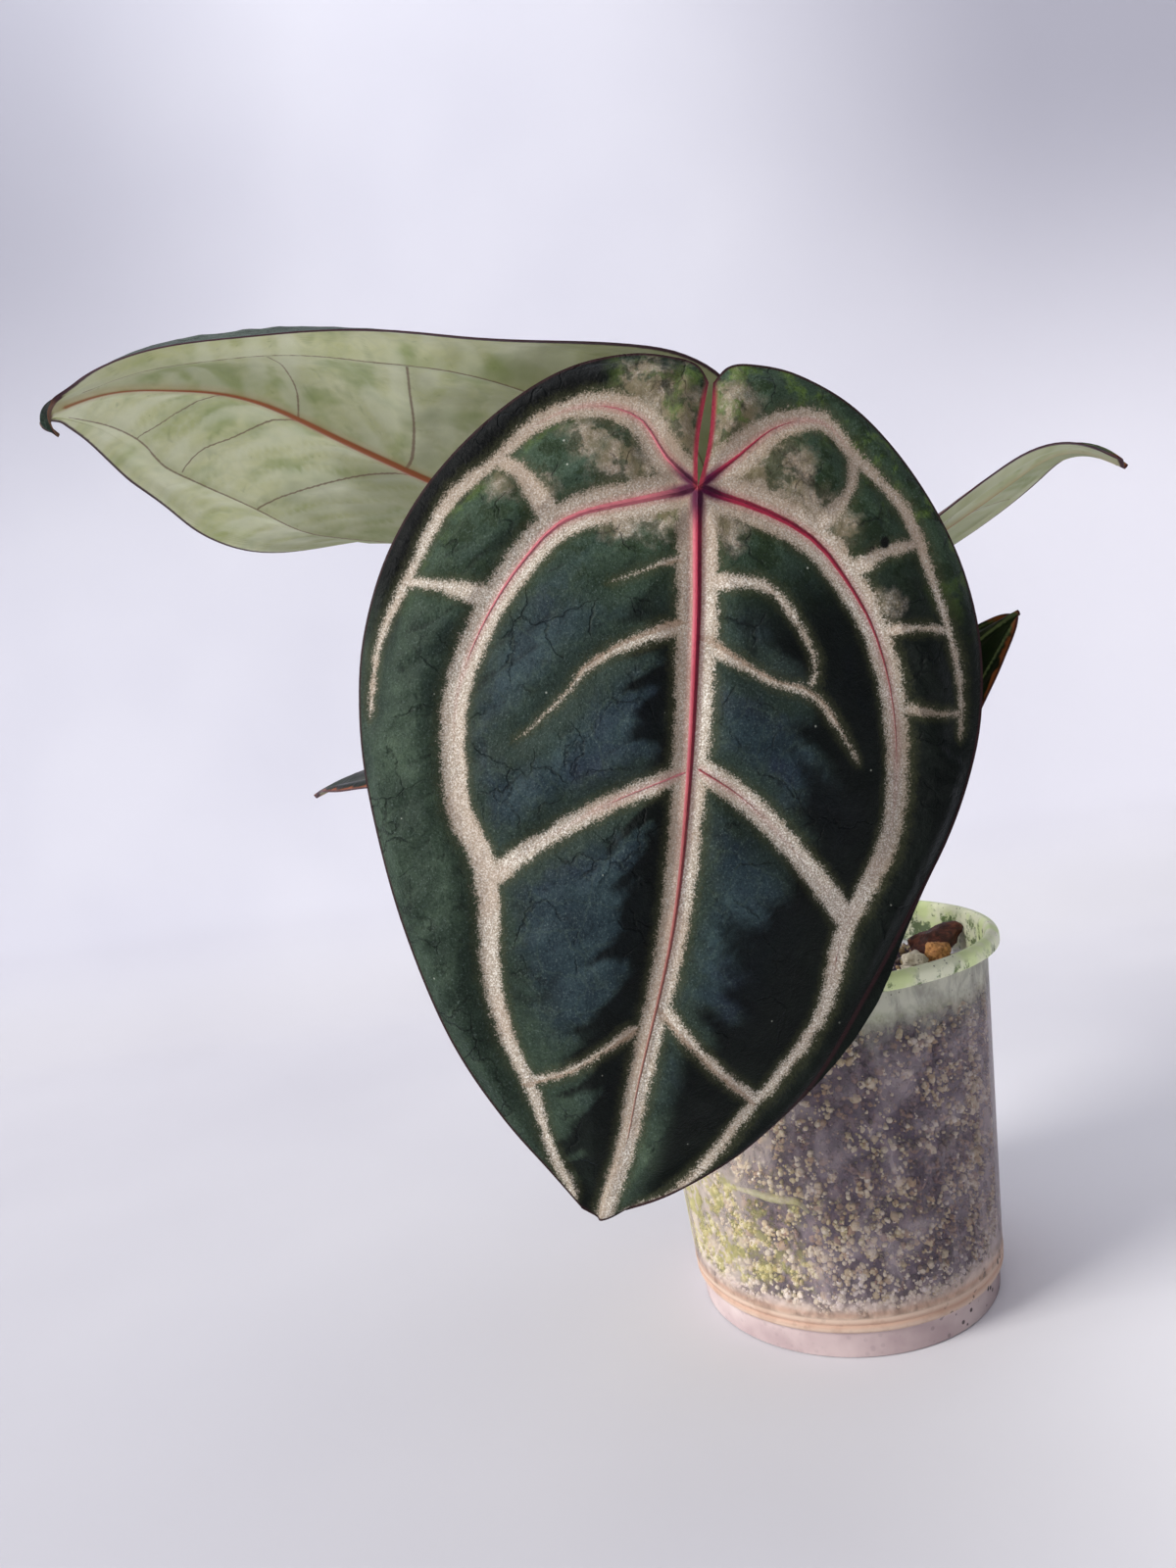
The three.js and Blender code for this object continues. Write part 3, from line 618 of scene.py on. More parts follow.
def velvet_ground(f, fray_wide):
    """The green between the bands: dark and bluish in the heart, paler towards the margin, and
    blotched on the lobes. Also gives the blotches."""
    shade = f.noise(22, 6, 0.7, 0.3)
    heart = f.ramp(shade, [
        (0.3, (24, 34, 40)), (0.46, (36, 50, 56)), (0.58, (48, 64, 68)), (0.74, (64, 84, 84)),
    ])
    navy = f.spread(f.noise(31, 3, 0.6, 0, f.placed((0.07, 0, 0.02))), 0.5, 0.66, 0, 0.6)
    heart = f.mix(navy, heart, srgb(40, 46, 66))
    near_band = f.spread(f.pushed(f.field("fine"), fray_wide, 9.0), 12.0, 4.0, 0, 0.6)
    heart = f.mix(near_band, heart, srgb(44, 56, 38))
    rim = f.ramp(shade, [
        (0.3, (28, 40, 32)), (0.48, (48, 62, 50)), (0.62, (64, 80, 64)), (0.78, (84, 100, 80)),
    ])
    outer = f.spread(f.pushed(f.field("edge"), fray_wide, 8.0), 34.0, 16.0)
    ground = f.mix(outer, heart, rim)
    lobes = f.zone("stem_y", 45.0, 5.0)
    ground = f.mix(f.times(lobes, 0.5), ground, srgb(62, 82, 60))
    blotches = f.times(f.spread(f.noise(6, 4, 0.6), 0.5, 0.58, 0, 0.75), lobes)
    ground = f.mix(blotches, ground, srgb(34, 48, 24))
    bright_spots = f.spread(f.noise(7, 4, 0.6, 0, f.placed((0.3, 0, 0))), 0.47, 0.62, 0, 0.8)
    on_rim = f.zone("edge", 16.0, 8.0)
    ground = f.mix(f.times(bright_spots, lobes, on_rim), ground, srgb(94, 118, 52))
    return ground, blotches


def velvet_shadow(f, fray_wide, far_side_shade):
    """How dark each place lies, as a share: beside the midrib on its left, on the right half,
    along the rolled left edge, at the far right and in the creases."""
    fold = f.math("MULTIPLY_ADD", f.field("fold"), -14.0, 6.0)
    from_midrib = f.math("SUBTRACT", f.pushed(f.field("midrib_off"), fray_wide, 8.0), fold)
    shaded_left = f.times(f.spread(from_midrib, 18.0, 11.0), f.zone("midrib_off", 1.0, 4.0))
    shaded_left = f.times(shaded_left, f.zone("reach", 16.0, 40.0))
    from_lateral = f.math("SUBTRACT", f.pushed(f.field("lateral_off"), fray_wide, 10.0), fold)
    right_half = f.zone("midrib_off", -4.0, -12.0)
    shaded_right = f.times(f.spread(from_lateral, 32.0, 20.0), right_half)
    shaded_right = f.times(shaded_right, f.zone("reach", 18.0, 45.0, 0.2, 1.0))
    shaded_right = f.times(shaded_right, f.zone("stem_y", -5.0, 28.0, 0.1, 1.0))
    left_half = f.zone("midrib_off", 12.0, 24.0)
    rolled = f.spread(f.pushed(f.field("edge"), fray_wide, 5.0), 12.0, 7.0)
    rolled = f.times(rolled, left_half, f.zone("stem_y", 60.0, 25.0))
    beside_veins = f.times(f.most(shaded_left, shaded_right), 0.9)
    crease = f.times(f.zone("fold", 0.2, 0.04, 0, 0.45), f.zone("fine", 2.0, 6.0))
    return f.most(beside_veins, rolled, f.times(far_side_shade, 0.8), crease)


def velvet_cords(f, colour, fray, cord_depth):
    """Lays the red cords on the bands, brightest near the petiole, with a dark knot there, painted light on
    the left side of the midrib's cord and painted shade on its right side.
    """
    flush = f.spread(cord_depth, -1.8, -0.2, 0, 0.4)
    youth = f.zone("reach", 150.0, 20.0)
    colour = f.mix(f.times(flush, youth), colour, srgb(176, 108, 108))
    cord = f.mix(youth, srgb(164, 112, 98), srgb(180, 52, 78))
    # Painted highlight on the left side of the midrib's cord.
    cord_flank_light_and_shade = f.times(f.zone("midrib_off", 0.1, 0.9), f.spread(cord_depth, -0.3, 0.2))
    cord = f.mix(f.times(cord_flank_light_and_shade, 0.75), cord, srgb(226, 138, 146))
    # Painted shade on the right side of the midrib's cord.
    cord_flank_light_and_shade = f.zone("midrib_off", -0.1, -0.6)
    cord_flank_light_and_shade = f.times(cord_flank_light_and_shade, f.zone("midrib_off", -2.0, -1.4))
    cord = f.mix(f.times(cord_flank_light_and_shade, 0.7), cord, srgb(112, 22, 54))
    colour = f.mix(f.spread(f.pushed(cord_depth, fray, 0.25), -0.22, 0.2), colour, cord)
    knot = f.zone("reach", 11.0, 3.0, 0, 0.9)
    knot = f.times(knot, f.spread(cord_depth, -1.4, 0.2))
    colour = f.mix(knot, colour, srgb(70, 20, 56))
    return colour


def velvet_finish():
    """The upper face of a grown leaf: near-black velvet, silvery bands and crimson cords."""
    f = Finish("leaf_velvet")
    fray = f.swing(0.6, 3, 0.7)
    fray_wide = f.swing(3.6, 3)
    ragged = f.math("ADD", f.times(fray, 2.6), f.times(fray_wide, 2.0))
    band_depth = f.depth("pale", VEIN_GROUPS)
    ragged = f.math("ADD", ragged, f.math("MULTIPLY_ADD", f.noise(0.42, 2, 0.7), 3.0, -1.5))
    pale = f.math("ADD", band_depth, ragged)
    band = f.spread(pale, -0.8, 0.55)

    ground, blotches = velvet_ground(f, fray_wide)
    # Painted shade on the far right of the blade, where it curves away from the light: it darkens the ground
    # there and dims the bands.
    far_side_shade = f.pushed(f.field("midrib_off"), fray_wide, 8.0)
    far_side_shade = f.times(f.spread(far_side_shade, -44.0, -58.0), f.zone("stem_y", 14.0, 48.0))
    shaded = velvet_shadow(f, fray_wide, far_side_shade)
    away = f.zone("fine", 3.0, 7.0)
    # Painted shade in the fine wrinkles: their lines are darkened nearly black, and the same lines are
    # pressed in as relief below.
    shaded_wrinkles = f.spread(f.cells(13, "DISTANCE_TO_EDGE", f.wandering(7, 9)), 0.035, 0.0)
    shaded_wrinkles = f.times(shaded_wrinkles, f.spread(f.noise(17, 2), 0.42, 0.56), away)
    ground = f.mix(f.times(shaded_wrinkles, 0.5), ground, srgb(4, 6, 6))
    thread = f.spread(f.cells(10, "DISTANCE_TO_EDGE", f.wandering(5, 6)), 0.05, 0.0)
    ground = f.mix(f.times(thread, f.times(away, 0.07)), ground, srgb(112, 130, 104))
    pile = f.noise(0.55, 3, 0.75)
    ground = f.mix(f.spread(pile, 0.48, 0.3, 0, 0.6), ground, srgb(8, 12, 12))
    ground = f.mix(f.spread(pile, 0.54, 0.74, 0, 0.4), ground, srgb(118, 134, 128))
    ground = f.mix(shaded, ground, srgb(3, 5, 5))
    fringe = f.spread(pale, -3.0, -0.4, 0, 0.5)
    ground = f.mix(fringe, ground, srgb(66, 68, 44))

    grain = f.noise(0.42, 2, 0.7)
    silver = f.ramp(grain, [(0.3, (146, 133, 116)), (0.5, (190, 178, 161)), (0.66, (250, 246, 236))])
    silver = f.mix(f.spread(f.noise(12, 2), 0.4, 0.7, 0, 0.4), silver, srgb(176, 152, 132))
    silver = f.mix(f.zone("stem_y", 24.0, -4.0, 0, 0.55), silver, srgb(146, 126, 106))
    # Painted shade: the band just left of the midrib is dimmed, as its slope in the channel faces away from
    # the light.
    left_band_shade = f.times(f.zone("midrib_off", -0.5, 0.5), f.zone("midrib_off", 9.0, 6.0))
    silver = f.mix(f.times(left_band_shade, 0.5), silver, srgb(140, 122, 104))
    wash_depth = f.pushed(f.field("wash"), fray_wide, 9.0)
    wash = f.spread(f.pushed(wash_depth, fray, 3.0), -3.0, 4.0, 0, 0.8)
    wash = f.times(wash, f.math("SUBTRACT", 1.0, blotches))
    wash_tone = f.mix(f.spread(f.noise(4.5, 4, 0.6), 0.36, 0.66), srgb(120, 108, 84), silver)
    colour = f.mix(wash, ground, wash_tone)
    # Painted shade dims the bands on the far right of the blade.
    silver = f.mix(f.times(far_side_shade, 0.6), silver, srgb(96, 82, 70))
    silver = f.mix(f.spread(band_depth, 1.5, -0.6, 0, 0.5), silver, srgb(124, 112, 88))
    slim = f.spread(f.depth("pale", ["twig"]), -1.0, 0.2)
    slim = f.times(slim, f.zone("twig_off", -0.1, 0.4))
    silver = f.mix(f.times(slim, 0.5), silver, srgb(136, 106, 80))
    colour = f.mix(band, colour, silver)

    cord_depth = f.depth("core", VEIN_GROUPS[:5])
    colour = velvet_cords(f, colour, fray, cord_depth)
    line = f.zone("edge", 0.9, 0.3)
    colour = f.mix(line, colour, srgb(50, 30, 32))
    sinus = f.times(f.zone("edge", 1.5, 0.6), f.zone("reach", 27.0, 19.0))
    colour = f.mix(sinus, colour, srgb(150, 52, 66))
    flecks = f.times(f.spread(f.cells(9), 0.04, 0.02), f.zone("edge", 2.0, 5.0))
    colour = f.mix(f.times(flecks, 0.6), colour, srgb(196, 200, 186))
    scars = f.spread(f.pushed(f.field("scar"), fray, 1.5), -0.3, 0.4)
    colour = f.mix(scars, colour, srgb(10, 12, 8))

    relief = f.bump(f.math("SUBTRACT", 1.0, shaded_wrinkles), 0.35, 0.8)
    relief = f.bump(f.noise(7, 6, 0.7, 0.4), 1.3, 0.8, relief)
    relief = f.bump(f.noise(1.6, 3, 0.6), 0.3, 0.8, relief)
    relief = f.bump(pile, 0.12, 0.9, relief)
    relief = f.bump(f.spread(cord_depth, -0.3, 1.3), 1.7, 1.0, relief)
    gloss = f.spread(cord_depth, -0.2, 0.3, 0.5, 0.36)
    f.principled(Base_Color=colour, Roughness=gloss, Normal=relief)
    f.principled(Sheen_Weight=0.05, Sheen_Roughness=0.4, Sheen_Tint=srgb(160, 190, 205))
    f.principled(Specular_IOR_Level=0.1)
    f.through(f.mix(1.0, colour, srgb(200, 225, 140), "MULTIPLY"), 0.05, relief)
    return f.material


def young_finish():
    """The upper face of the small leaves: glossier dark green with fine lighter veins."""
    f = Finish("leaf_young")
    shade = f.noise(9, 3, 0.55)
    ground = f.ramp(shade, [(0.3, (4, 12, 4)), (0.5, (8, 21, 6)), (0.75, (18, 38, 12))])
    fray = f.swing(0.9, 2)
    band = f.spread(f.pushed(f.depth("pale", VEIN_GROUPS[:5]), fray, 0.8), -0.35, 0.3)
    colour = f.mix(f.times(band, 0.6), ground, srgb(118, 132, 84))
    edge = f.pushed(f.field("edge"), f.swing(6, 2), 5.0)
    colour = f.mix(f.spread(edge, 1.6, 0.5), colour, srgb(142, 78, 44))
    colour = f.mix(f.zone("edge", 0.7, 0.3), colour, srgb(78, 40, 34))
    relief = f.bump(f.noise(2.2, 3), 0.3, 0.6)
    f.principled(Base_Color=colour, Roughness=f.spread(shade, 0.3, 0.7, 0.32, 0.45), Normal=relief)
    f.principled(Sheen_Weight=0.02, Specular_IOR_Level=0.12)
    f.through(f.mix(1.0, colour, srgb(210, 235, 130), "MULTIPLY"), 0.08, relief)
    return f.material


def underside_finish(name, dim):
    """The lower face of a leaf: waxy sage green, a rusty midrib and thin brown veins. dim is
    how far the whole face darkens towards olive."""
    f = Finish(name)
    shade = f.noise(24, 4, 0.6, 0.4)
    ground = f.ramp(shade, [(0.3, (184, 194, 122)), (0.48, (214, 218, 162)), (0.66, (232, 234, 194))])
    net = f.spread(f.cells(6, "DISTANCE_TO_EDGE"), 0.14, 0.0, 0, 0.3)
    ground = f.mix(net, ground, srgb(206, 212, 170))
    blotches = f.spread(f.noise(22, 3, 0.6), 0.48, 0.68, 0, 0.7)
    ground = f.mix(blotches, ground, srgb(146, 166, 92))
    # Painted light on the tops of the folds and painted shade in their creases.
    ground = f.mix(f.zone("fold", 0.25, 0.8, 0, 0.5), ground, srgb(240, 244, 212))
    ground = f.mix(f.zone("fold", 0.2, 0.02, 0, 0.35), ground, srgb(130, 148, 84))
    near_vein = f.zone("fine", 5.0, 1.0, 0, 0.3)
    ground = f.mix(near_vein, ground, srgb(206, 210, 172))
    # Darker and more olive towards the stem, and painted shade along one side of the midrib.
    drift = f.times(f.swing(16, 3), 50.0)
    near_stem = f.spread(f.math("ADD", f.field("stem_y"), drift), 108.0, 62.0, 0, 0.65)
    midrib_side_shade = f.times(f.zone("midrib_off", 44.0, 4.0), f.zone("midrib_off", -1.0, 2.0))
    olive = f.most(near_stem, f.times(midrib_side_shade, 0.4))
    ground = f.mix(olive, ground, srgb(116, 122, 66))
    ground = f.mix(dim, ground, srgb(88, 100, 52))
    fray = f.swing(1.4, 2)
    thin = f.spread(f.pushed(f.depth("core", VEIN_GROUPS[1:5]), fray, 0.4), -0.3, 0.15)
    colour = f.mix(f.times(thin, 0.8), ground, srgb(112, 80, 54))
    midrib = f.depth("core", ["midrib"])
    colour = f.mix(f.spread(midrib, -3.6, -0.2, 0, 0.3), colour, srgb(190, 150, 104))
    colour = f.mix(f.spread(midrib, -0.5, 0.3), colour, srgb(172, 100, 62))
    line = f.spread(f.pushed(f.field("edge"), fray, 0.3), 1.1, 0.5)
    colour = f.mix(line, colour, srgb(66, 32, 42))
    at_tip = f.zone("stem_y", 190.5, 193.5)
    colour = f.mix(at_tip, colour, srgb(120, 84, 64))
    relief = f.bump(f.noise(6, 3), 0.4, 0.5)
    relief = f.bump(f.noise(0.8, 2), 0.06, 0.6, relief)
    relief = f.bump(f.spread(midrib, -0.8, 1.2), 0.6, 0.8, relief)
    f.principled(Base_Color=colour, Roughness=f.spread(shade, 0.3, 0.7, 0.42, 0.55), Normal=relief)
    f.principled(Sheen_Weight=0.05, Specular_IOR_Level=0.35)
    f.through(f.mix(0.5, colour, srgb(214, 228, 150)), 0.05, relief)
    return f.material


def petiole_finish():
    f = Finish("petiole_skin")
    streaks = f.noise(2.4, 3, 0.6, 0, f.placed(stretch=(1, 1, 0.12)))
    colour = f.ramp(streaks, [(0.3, (74, 84, 46)), (0.5, (104, 116, 66)), (0.72, (134, 138, 88))])
    freckles = f.spread(f.cells(1.5), 0.28, 0.12)
    colour = f.mix(f.times(freckles, 0.45), colour, srgb(176, 172, 132))
    blush = f.spread(f.noise(18, 2), 0.5, 0.72, 0, 0.5)
    colour = f.mix(blush, colour, srgb(118, 58, 60))
    relief = f.bump(streaks, 0.25, 0.6)
    f.principled(Base_Color=colour, Roughness=f.spread(streaks, 0.3, 0.7, 0.38, 0.52), Normal=relief)
    return f.material


def crown_finish():
    f = Finish("crown_fibre")
    fibres = f.noise(1.6, 4, 0.7, 0.3, f.placed(stretch=(1, 1, 0.15)))
    colour = f.ramp(fibres, [(0.28, (58, 40, 26)), (0.5, (112, 88, 56)), (0.72, (158, 136, 96))])
    green = f.spread(f.noise(7, 2), 0.5, 0.66, 0, 0.6)
    colour = f.mix(green, colour, srgb(104, 112, 62))
    relief = f.bump(fibres, 0.5, 0.8)
    f.principled(Base_Color=colour, Roughness=f.spread(fibres, 0.3, 0.7, 0.65, 0.85), Normal=relief)
    return f.material


def root_finish():
    f = Finish("root_skin")
    shade = f.noise(2.5, 4, 0.6)
    colour = f.ramp(shade, [(0.3, (150, 140, 98)), (0.5, (186, 178, 132)), (0.7, (214, 208, 168))])
    colour = f.mix(f.spread(f.noise(7, 2), 0.5, 0.65, 0, 0.5), colour, srgb(150, 158, 96))
    relief = f.bump(shade, 0.3, 0.7)
    f.principled(Base_Color=colour, Roughness=f.spread(shade, 0.3, 0.7, 0.45, 0.6), Normal=relief)
    return f.material


def bark_finish(name, dark, middle, light, stretch):
    """Bark with its grain drawn out along stretch."""
    f = Finish(name)
    grain = f.noise(1.3, 5, 0.65, 0.4, f.placed(stretch=stretch))
    colour = f.ramp(grain, [(0.3, dark), (0.5, middle), (0.7, light)])
    patches = f.spread(f.noise(5, 2), 0.48, 0.68)
    colour = f.mix(f.times(patches, 0.6), colour, srgb(*dark))
    relief = f.bump(grain, 0.6, 0.9)
    relief = f.bump(f.noise(0.5, 2), 0.12, 0.7, relief)
    f.principled(Base_Color=colour, Roughness=f.spread(grain, 0.3, 0.7, 0.6, 0.8), Normal=relief)
    return f.material


def stone_finish(name, dark, light, spot):
    f = Finish(name)
    crumb = f.noise(1.2, 5, 0.7)
    colour = f.ramp(crumb, [(0.3, dark), (0.66, light)])
    pores = f.spread(f.cells(1.1), 0.3, 0.12)
    colour = f.mix(f.times(pores, 0.7), colour, srgb(*spot))
    relief = f.bump(crumb, 0.5, 0.8)
    relief = f.bump(f.math("SUBTRACT", 1.0, pores), 0.3, 0.8, relief)
    f.principled(Base_Color=colour, Roughness=f.spread(crumb, 0.3, 0.7, 0.7, 0.88), Normal=relief)
    return f.material


def grain_finish():
    """Crumbs of the mix: each one's tint, and how green it has grown, come with its mesh."""
    f = Finish("mix_grains")
    tint = f.field("tint")
    colour = f.ramp(tint, [
        (0.0, (54, 40, 64)), (0.2, (100, 78, 98)), (0.36, (150, 114, 98)), (0.5, (190, 156, 118)),
        (0.66, (228, 208, 164)), (0.82, (244, 230, 200)), (1.0, (255, 244, 240)),
    ])
    mottle = f.noise(0.7, 3)
    colour = f.mix(f.spread(mottle, 0.48, 0.72, 0, 0.35), colour, srgb(136, 112, 94))
    green = f.times(f.field("green"), f.spread(mottle, 0.25, 0.6))
    colour = f.mix(green, colour, srgb(200, 196, 120))
    relief = f.bump(mottle, 0.2, 0.8)
    f.principled(Base_Color=colour, Roughness=f.spread(mottle, 0.3, 0.7, 0.5, 0.72), Normal=relief)
    return f.material


def mix_finish():
    """The dark damp body of the mix behind the crumbs."""
    f = Finish("mix_body")
    shade = f.noise(4, 4, 0.6)
    colour = f.ramp(shade, [(0.3, (48, 36, 60)), (0.5, (80, 62, 86)), (0.68, (142, 118, 122))])
    relief = f.bump(shade, 0.8, 0.8)
    f.principled(Base_Color=colour, Roughness=f.spread(shade, 0.3, 0.7, 0.6, 0.8), Normal=relief)
    return f.material


def cup_finish():
    """Thin clear plastic under a film: mist below the lip, algae on it and at the lower left, a dusty film
    and a painted grazing sheen at the right, a painted grazing sheen at the left, peach-stained ledge, and
    dirt specks by the foot."""
    f = Finish("cup_plastic")
    place = f.add("ShaderNodeSeparateXYZ", {0: f.placed((-POT_AXIS.x, -POT_AXIS.y, 0), (1 / MM,) * 3)})
    across, height = place.outputs["X"], place.outputs["Z"]
    outside = f.field("outside")
    drift = f.swing(12, 4, 0.6)
    raised = f.pushed(height, drift, 17.0)
    hem = f.pushed(height, f.swing(3, 4, 0.7), 14.0)
    lip_bottom = CUP_HEIGHT - LIP_HEIGHT
    smear = f.noise(8, 5, 0.66, 0.5, f.placed(stretch=(1, 1, 0.6)))
    cloudy = f.spread(smear, 0.3, 0.62, 0.4, 1.0)

    film = f.spread(smear, 0.4, 0.7, 0.1, 0.42)
    mist = f.times(f.spread(hem, 90.0, 103.0, 0, 0.88), f.spread(smear, 0.25, 0.6, 0.8, 1.0))
    # Whiter film towards the cup's right and left edges: real dirt at the right, and a painted sheen where
    # the wall is seen at a grazing angle on both sides.
    to_right = f.pushed(across, drift, 50.0)
    dust_and_edge_sheen = f.times(f.spread(to_right, 14.0, 44.0, 0, 0.42), cloudy)
    edge_sheen = f.times(f.spread(across, -16.0, -46.0, 0, 0.5), cloudy)
    above_foot = f.spread(f.math("ABSOLUTE", f.math("SUBTRACT", raised, 34.0)), 26.0, 8.0)
    patches = f.spread(f.noise(5, 4, 0.7), 0.44, 0.62, 0.0, 0.42)
    growth = f.times(f.spread(across, -6.0, -40.0), above_foot, patches)
    stain = f.times(f.spread(f.pushed(height, drift, 12.0), 21.0, 13.0), cloudy)
    stain = f.most(f.times(stain, 0.8), f.spread(height, 13.6, 12.2, 0, 0.88))
    lip = f.spread(height, lip_bottom - 1.5, lip_bottom)
    blots = f.spread(f.noise(5, 5, 0.7), 0.5, 0.6)
    inner_film = f.spread(height, SOIL_LEVEL - 2, SOIL_LEVEL + 2, 0, 0.8)
    inner_film = f.times(f.math("SUBTRACT", 1.0, outside), inner_film)
    dirty = f.times(f.spread(f.noise(8, 2), 0.4, 0.54), f.spread(across, 8.0, 30.0, 0.12, 1.0))
    specks = f.times(f.spread(f.cells(2.6), 0.3, 0.2), dirty, f.spread(height, 22.0, 12.0))
    in_clouds = f.spread(f.noise(9, 3), 0.46, 0.6)
    motes = f.times(f.spread(f.cells(1.7), 0.2, 0.1), in_clouds, f.spread(height, 40.0, 80.0, 0.1, 0.8))

    cover = f.times(f.most(mist, dust_and_edge_sheen, growth, stain, film, specks, edge_sheen, motes), outside)
    algae = f.times(lip, f.pushed(0.84, blots, 0.1))
    cover = f.most(cover, algae, inner_film, 0.03)

    misty = f.mix(f.spread(smear, 0.4, 0.62), srgb(164, 162, 152), srgb(206, 206, 190))
    misty = f.mix(f.spread(height, 104.0, 96.0, 0, 0.5), misty, srgb(150, 146, 134))
    milk = f.mix(f.spread(across, -10.0, -40.0), srgb(196, 182, 186), srgb(236, 222, 208))
    milk = f.mix(f.spread(hem, 86.0, 98.0), milk, misty)
    milk = f.mix(f.spread(growth, 0.02, 0.2), milk, srgb(214, 208, 142))
    rings = f.add("ShaderNodeTexWave", {
        "Vector": f.object, "Scale": 90.0, "Distortion": 1.2,
    }, bands_direction="Z")
    peach = f.mix(rings.outputs["Fac"], srgb(206, 170, 148), srgb(214, 188, 168))
    peach = f.mix(f.spread(f.noise(9, 4, 0.6), 0.5, 0.62, 0, 0.35), peach, srgb(176, 138, 116))
    peach = f.mix(f.spread(height, 13.0, 18.5), peach, srgb(230, 212, 206))
    foot_tone = f.ramp(f.noise(14, 3), [
        (0.35, (188, 166, 166)), (0.55, (208, 188, 186)), (0.75, (222, 206, 202)),
    ])
    foot_tone = f.mix(f.spread(across, 18.0, 44.0, 0, 0.4), foot_tone, srgb(132, 112, 114))
    peach = f.mix(f.spread(height, 8.4, 7.8), peach, foot_tone)
    milk = f.mix(f.spread(f.pushed(height, drift, 6.0), 21.0, 16.5), milk, peach)
    green = f.mix(f.spread(f.noise(9, 3), 0.4, 0.62), srgb(232, 246, 182), srgb(246, 248, 218))
    low_lip = f.spread(height, CUP_HEIGHT - 0.8, lip_bottom + 0.6, 0.2, 1.0)
    green = f.mix(f.times(blots, low_lip), green, srgb(96, 120, 62))
    colour = f.mix(f.most(lip, f.spread(inner_film, 0.05, 0.4)), milk, green)
    dark_bits = f.times(f.most(specks, motes), outside)
    colour = f.mix(dark_bits, colour, srgb(44, 30, 34))

    relief = f.bump(f.noise(24, 2), 0.5, 0.3)
    relief = f.bump(smear, 0.1, 0.5, relief)
    f.principled(Base_Color=colour, Roughness=f.spread(cover, 0.05, 0.6, 0.25, 0.6), Normal=relief)
    f.principled(Specular_IOR_Level=0.5, IOR=1.46)
    clear = f.add("ShaderNodeBsdfTransparent", {"Color": srgb(250, 250, 251)})
    shine = f.add("ShaderNodeFresnel", {"IOR": 1.22, "Normal": relief})
    share = f.most(cover, f.times(shine.outputs[0], f.pushed(0.1, outside, 0.7)))
    f.blend(share, clear.outputs[0], f.shader.outputs[0])
    return f.material


def only(piece):
    """Selects one piece and makes it active."""
    bpy.ops.object.select_all(action="DESELECT")
    piece.select_set(True)
    bpy.context.view_layer.objects.active = piece


def settle(piece, node):
    """Finishes a piece: it rides on the plant and stands for its node, which is hidden."""
    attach(piece, "root")
    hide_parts(node)
    piece.select_set(False)
    return piece


def new_mesh(name, places, faces):
    mesh = bpy.data.meshes.new(name)
    mesh.from_pydata(places.tolist(), [], faces)
    piece = bpy.data.objects.new(name, mesh)
    bpy.context.scene.collection.objects.link(piece)
    return piece


def give_field(piece, name, values):
    attribute = piece.data.attributes.new(name, "FLOAT", "POINT")
    attribute.data.foreach_set("value", np.asarray(values, np.float32))


def outwards(piece):
    only(piece)
    bpy.ops.object.mode_set(mode="EDIT")
    bpy.ops.mesh.select_all(action="SELECT")
    bpy.ops.mesh.normals_make_consistent(inside=False)
    bpy.ops.object.mode_set(mode="OBJECT")


def blade_faces(ray_count, rings):
    """The faces of a closed blade and which side each is on: 0 above, and 1 below and at the
    border. The lower vertices follow all the upper ones."""
    below = 1 + ray_count * rings

    def vertex(ray, ring):
        return 0 if ring == 0 else 1 + ray * rings + ring - 1

    faces, sides = [], []
    for ray in range(ray_count - 1):
        for ring in range(rings):
            corners = [vertex(ray, ring), vertex(ray, ring + 1), vertex(ray + 1, ring + 1)]
            if ring > 0:
                corners.append(vertex(ray + 1, ring))
            faces.append(corners)
            sides.append(0)
            faces.append([below + corner for corner in reversed(corners)])
            sides.append(1)
    border = [vertex(0, ring) for ring in range(rings + 1)]
    border += [vertex(ray, rings) for ray in range(1, ray_count)]
    border += [vertex(ray_count - 1, ring) for ring in range(rings - 1, 0, -1)]
    for a, b in zip(border, border[1:] + border[:1]):
        faces.append([b, a, below + a, below + b])
        sides.append(1)
    return faces, sides


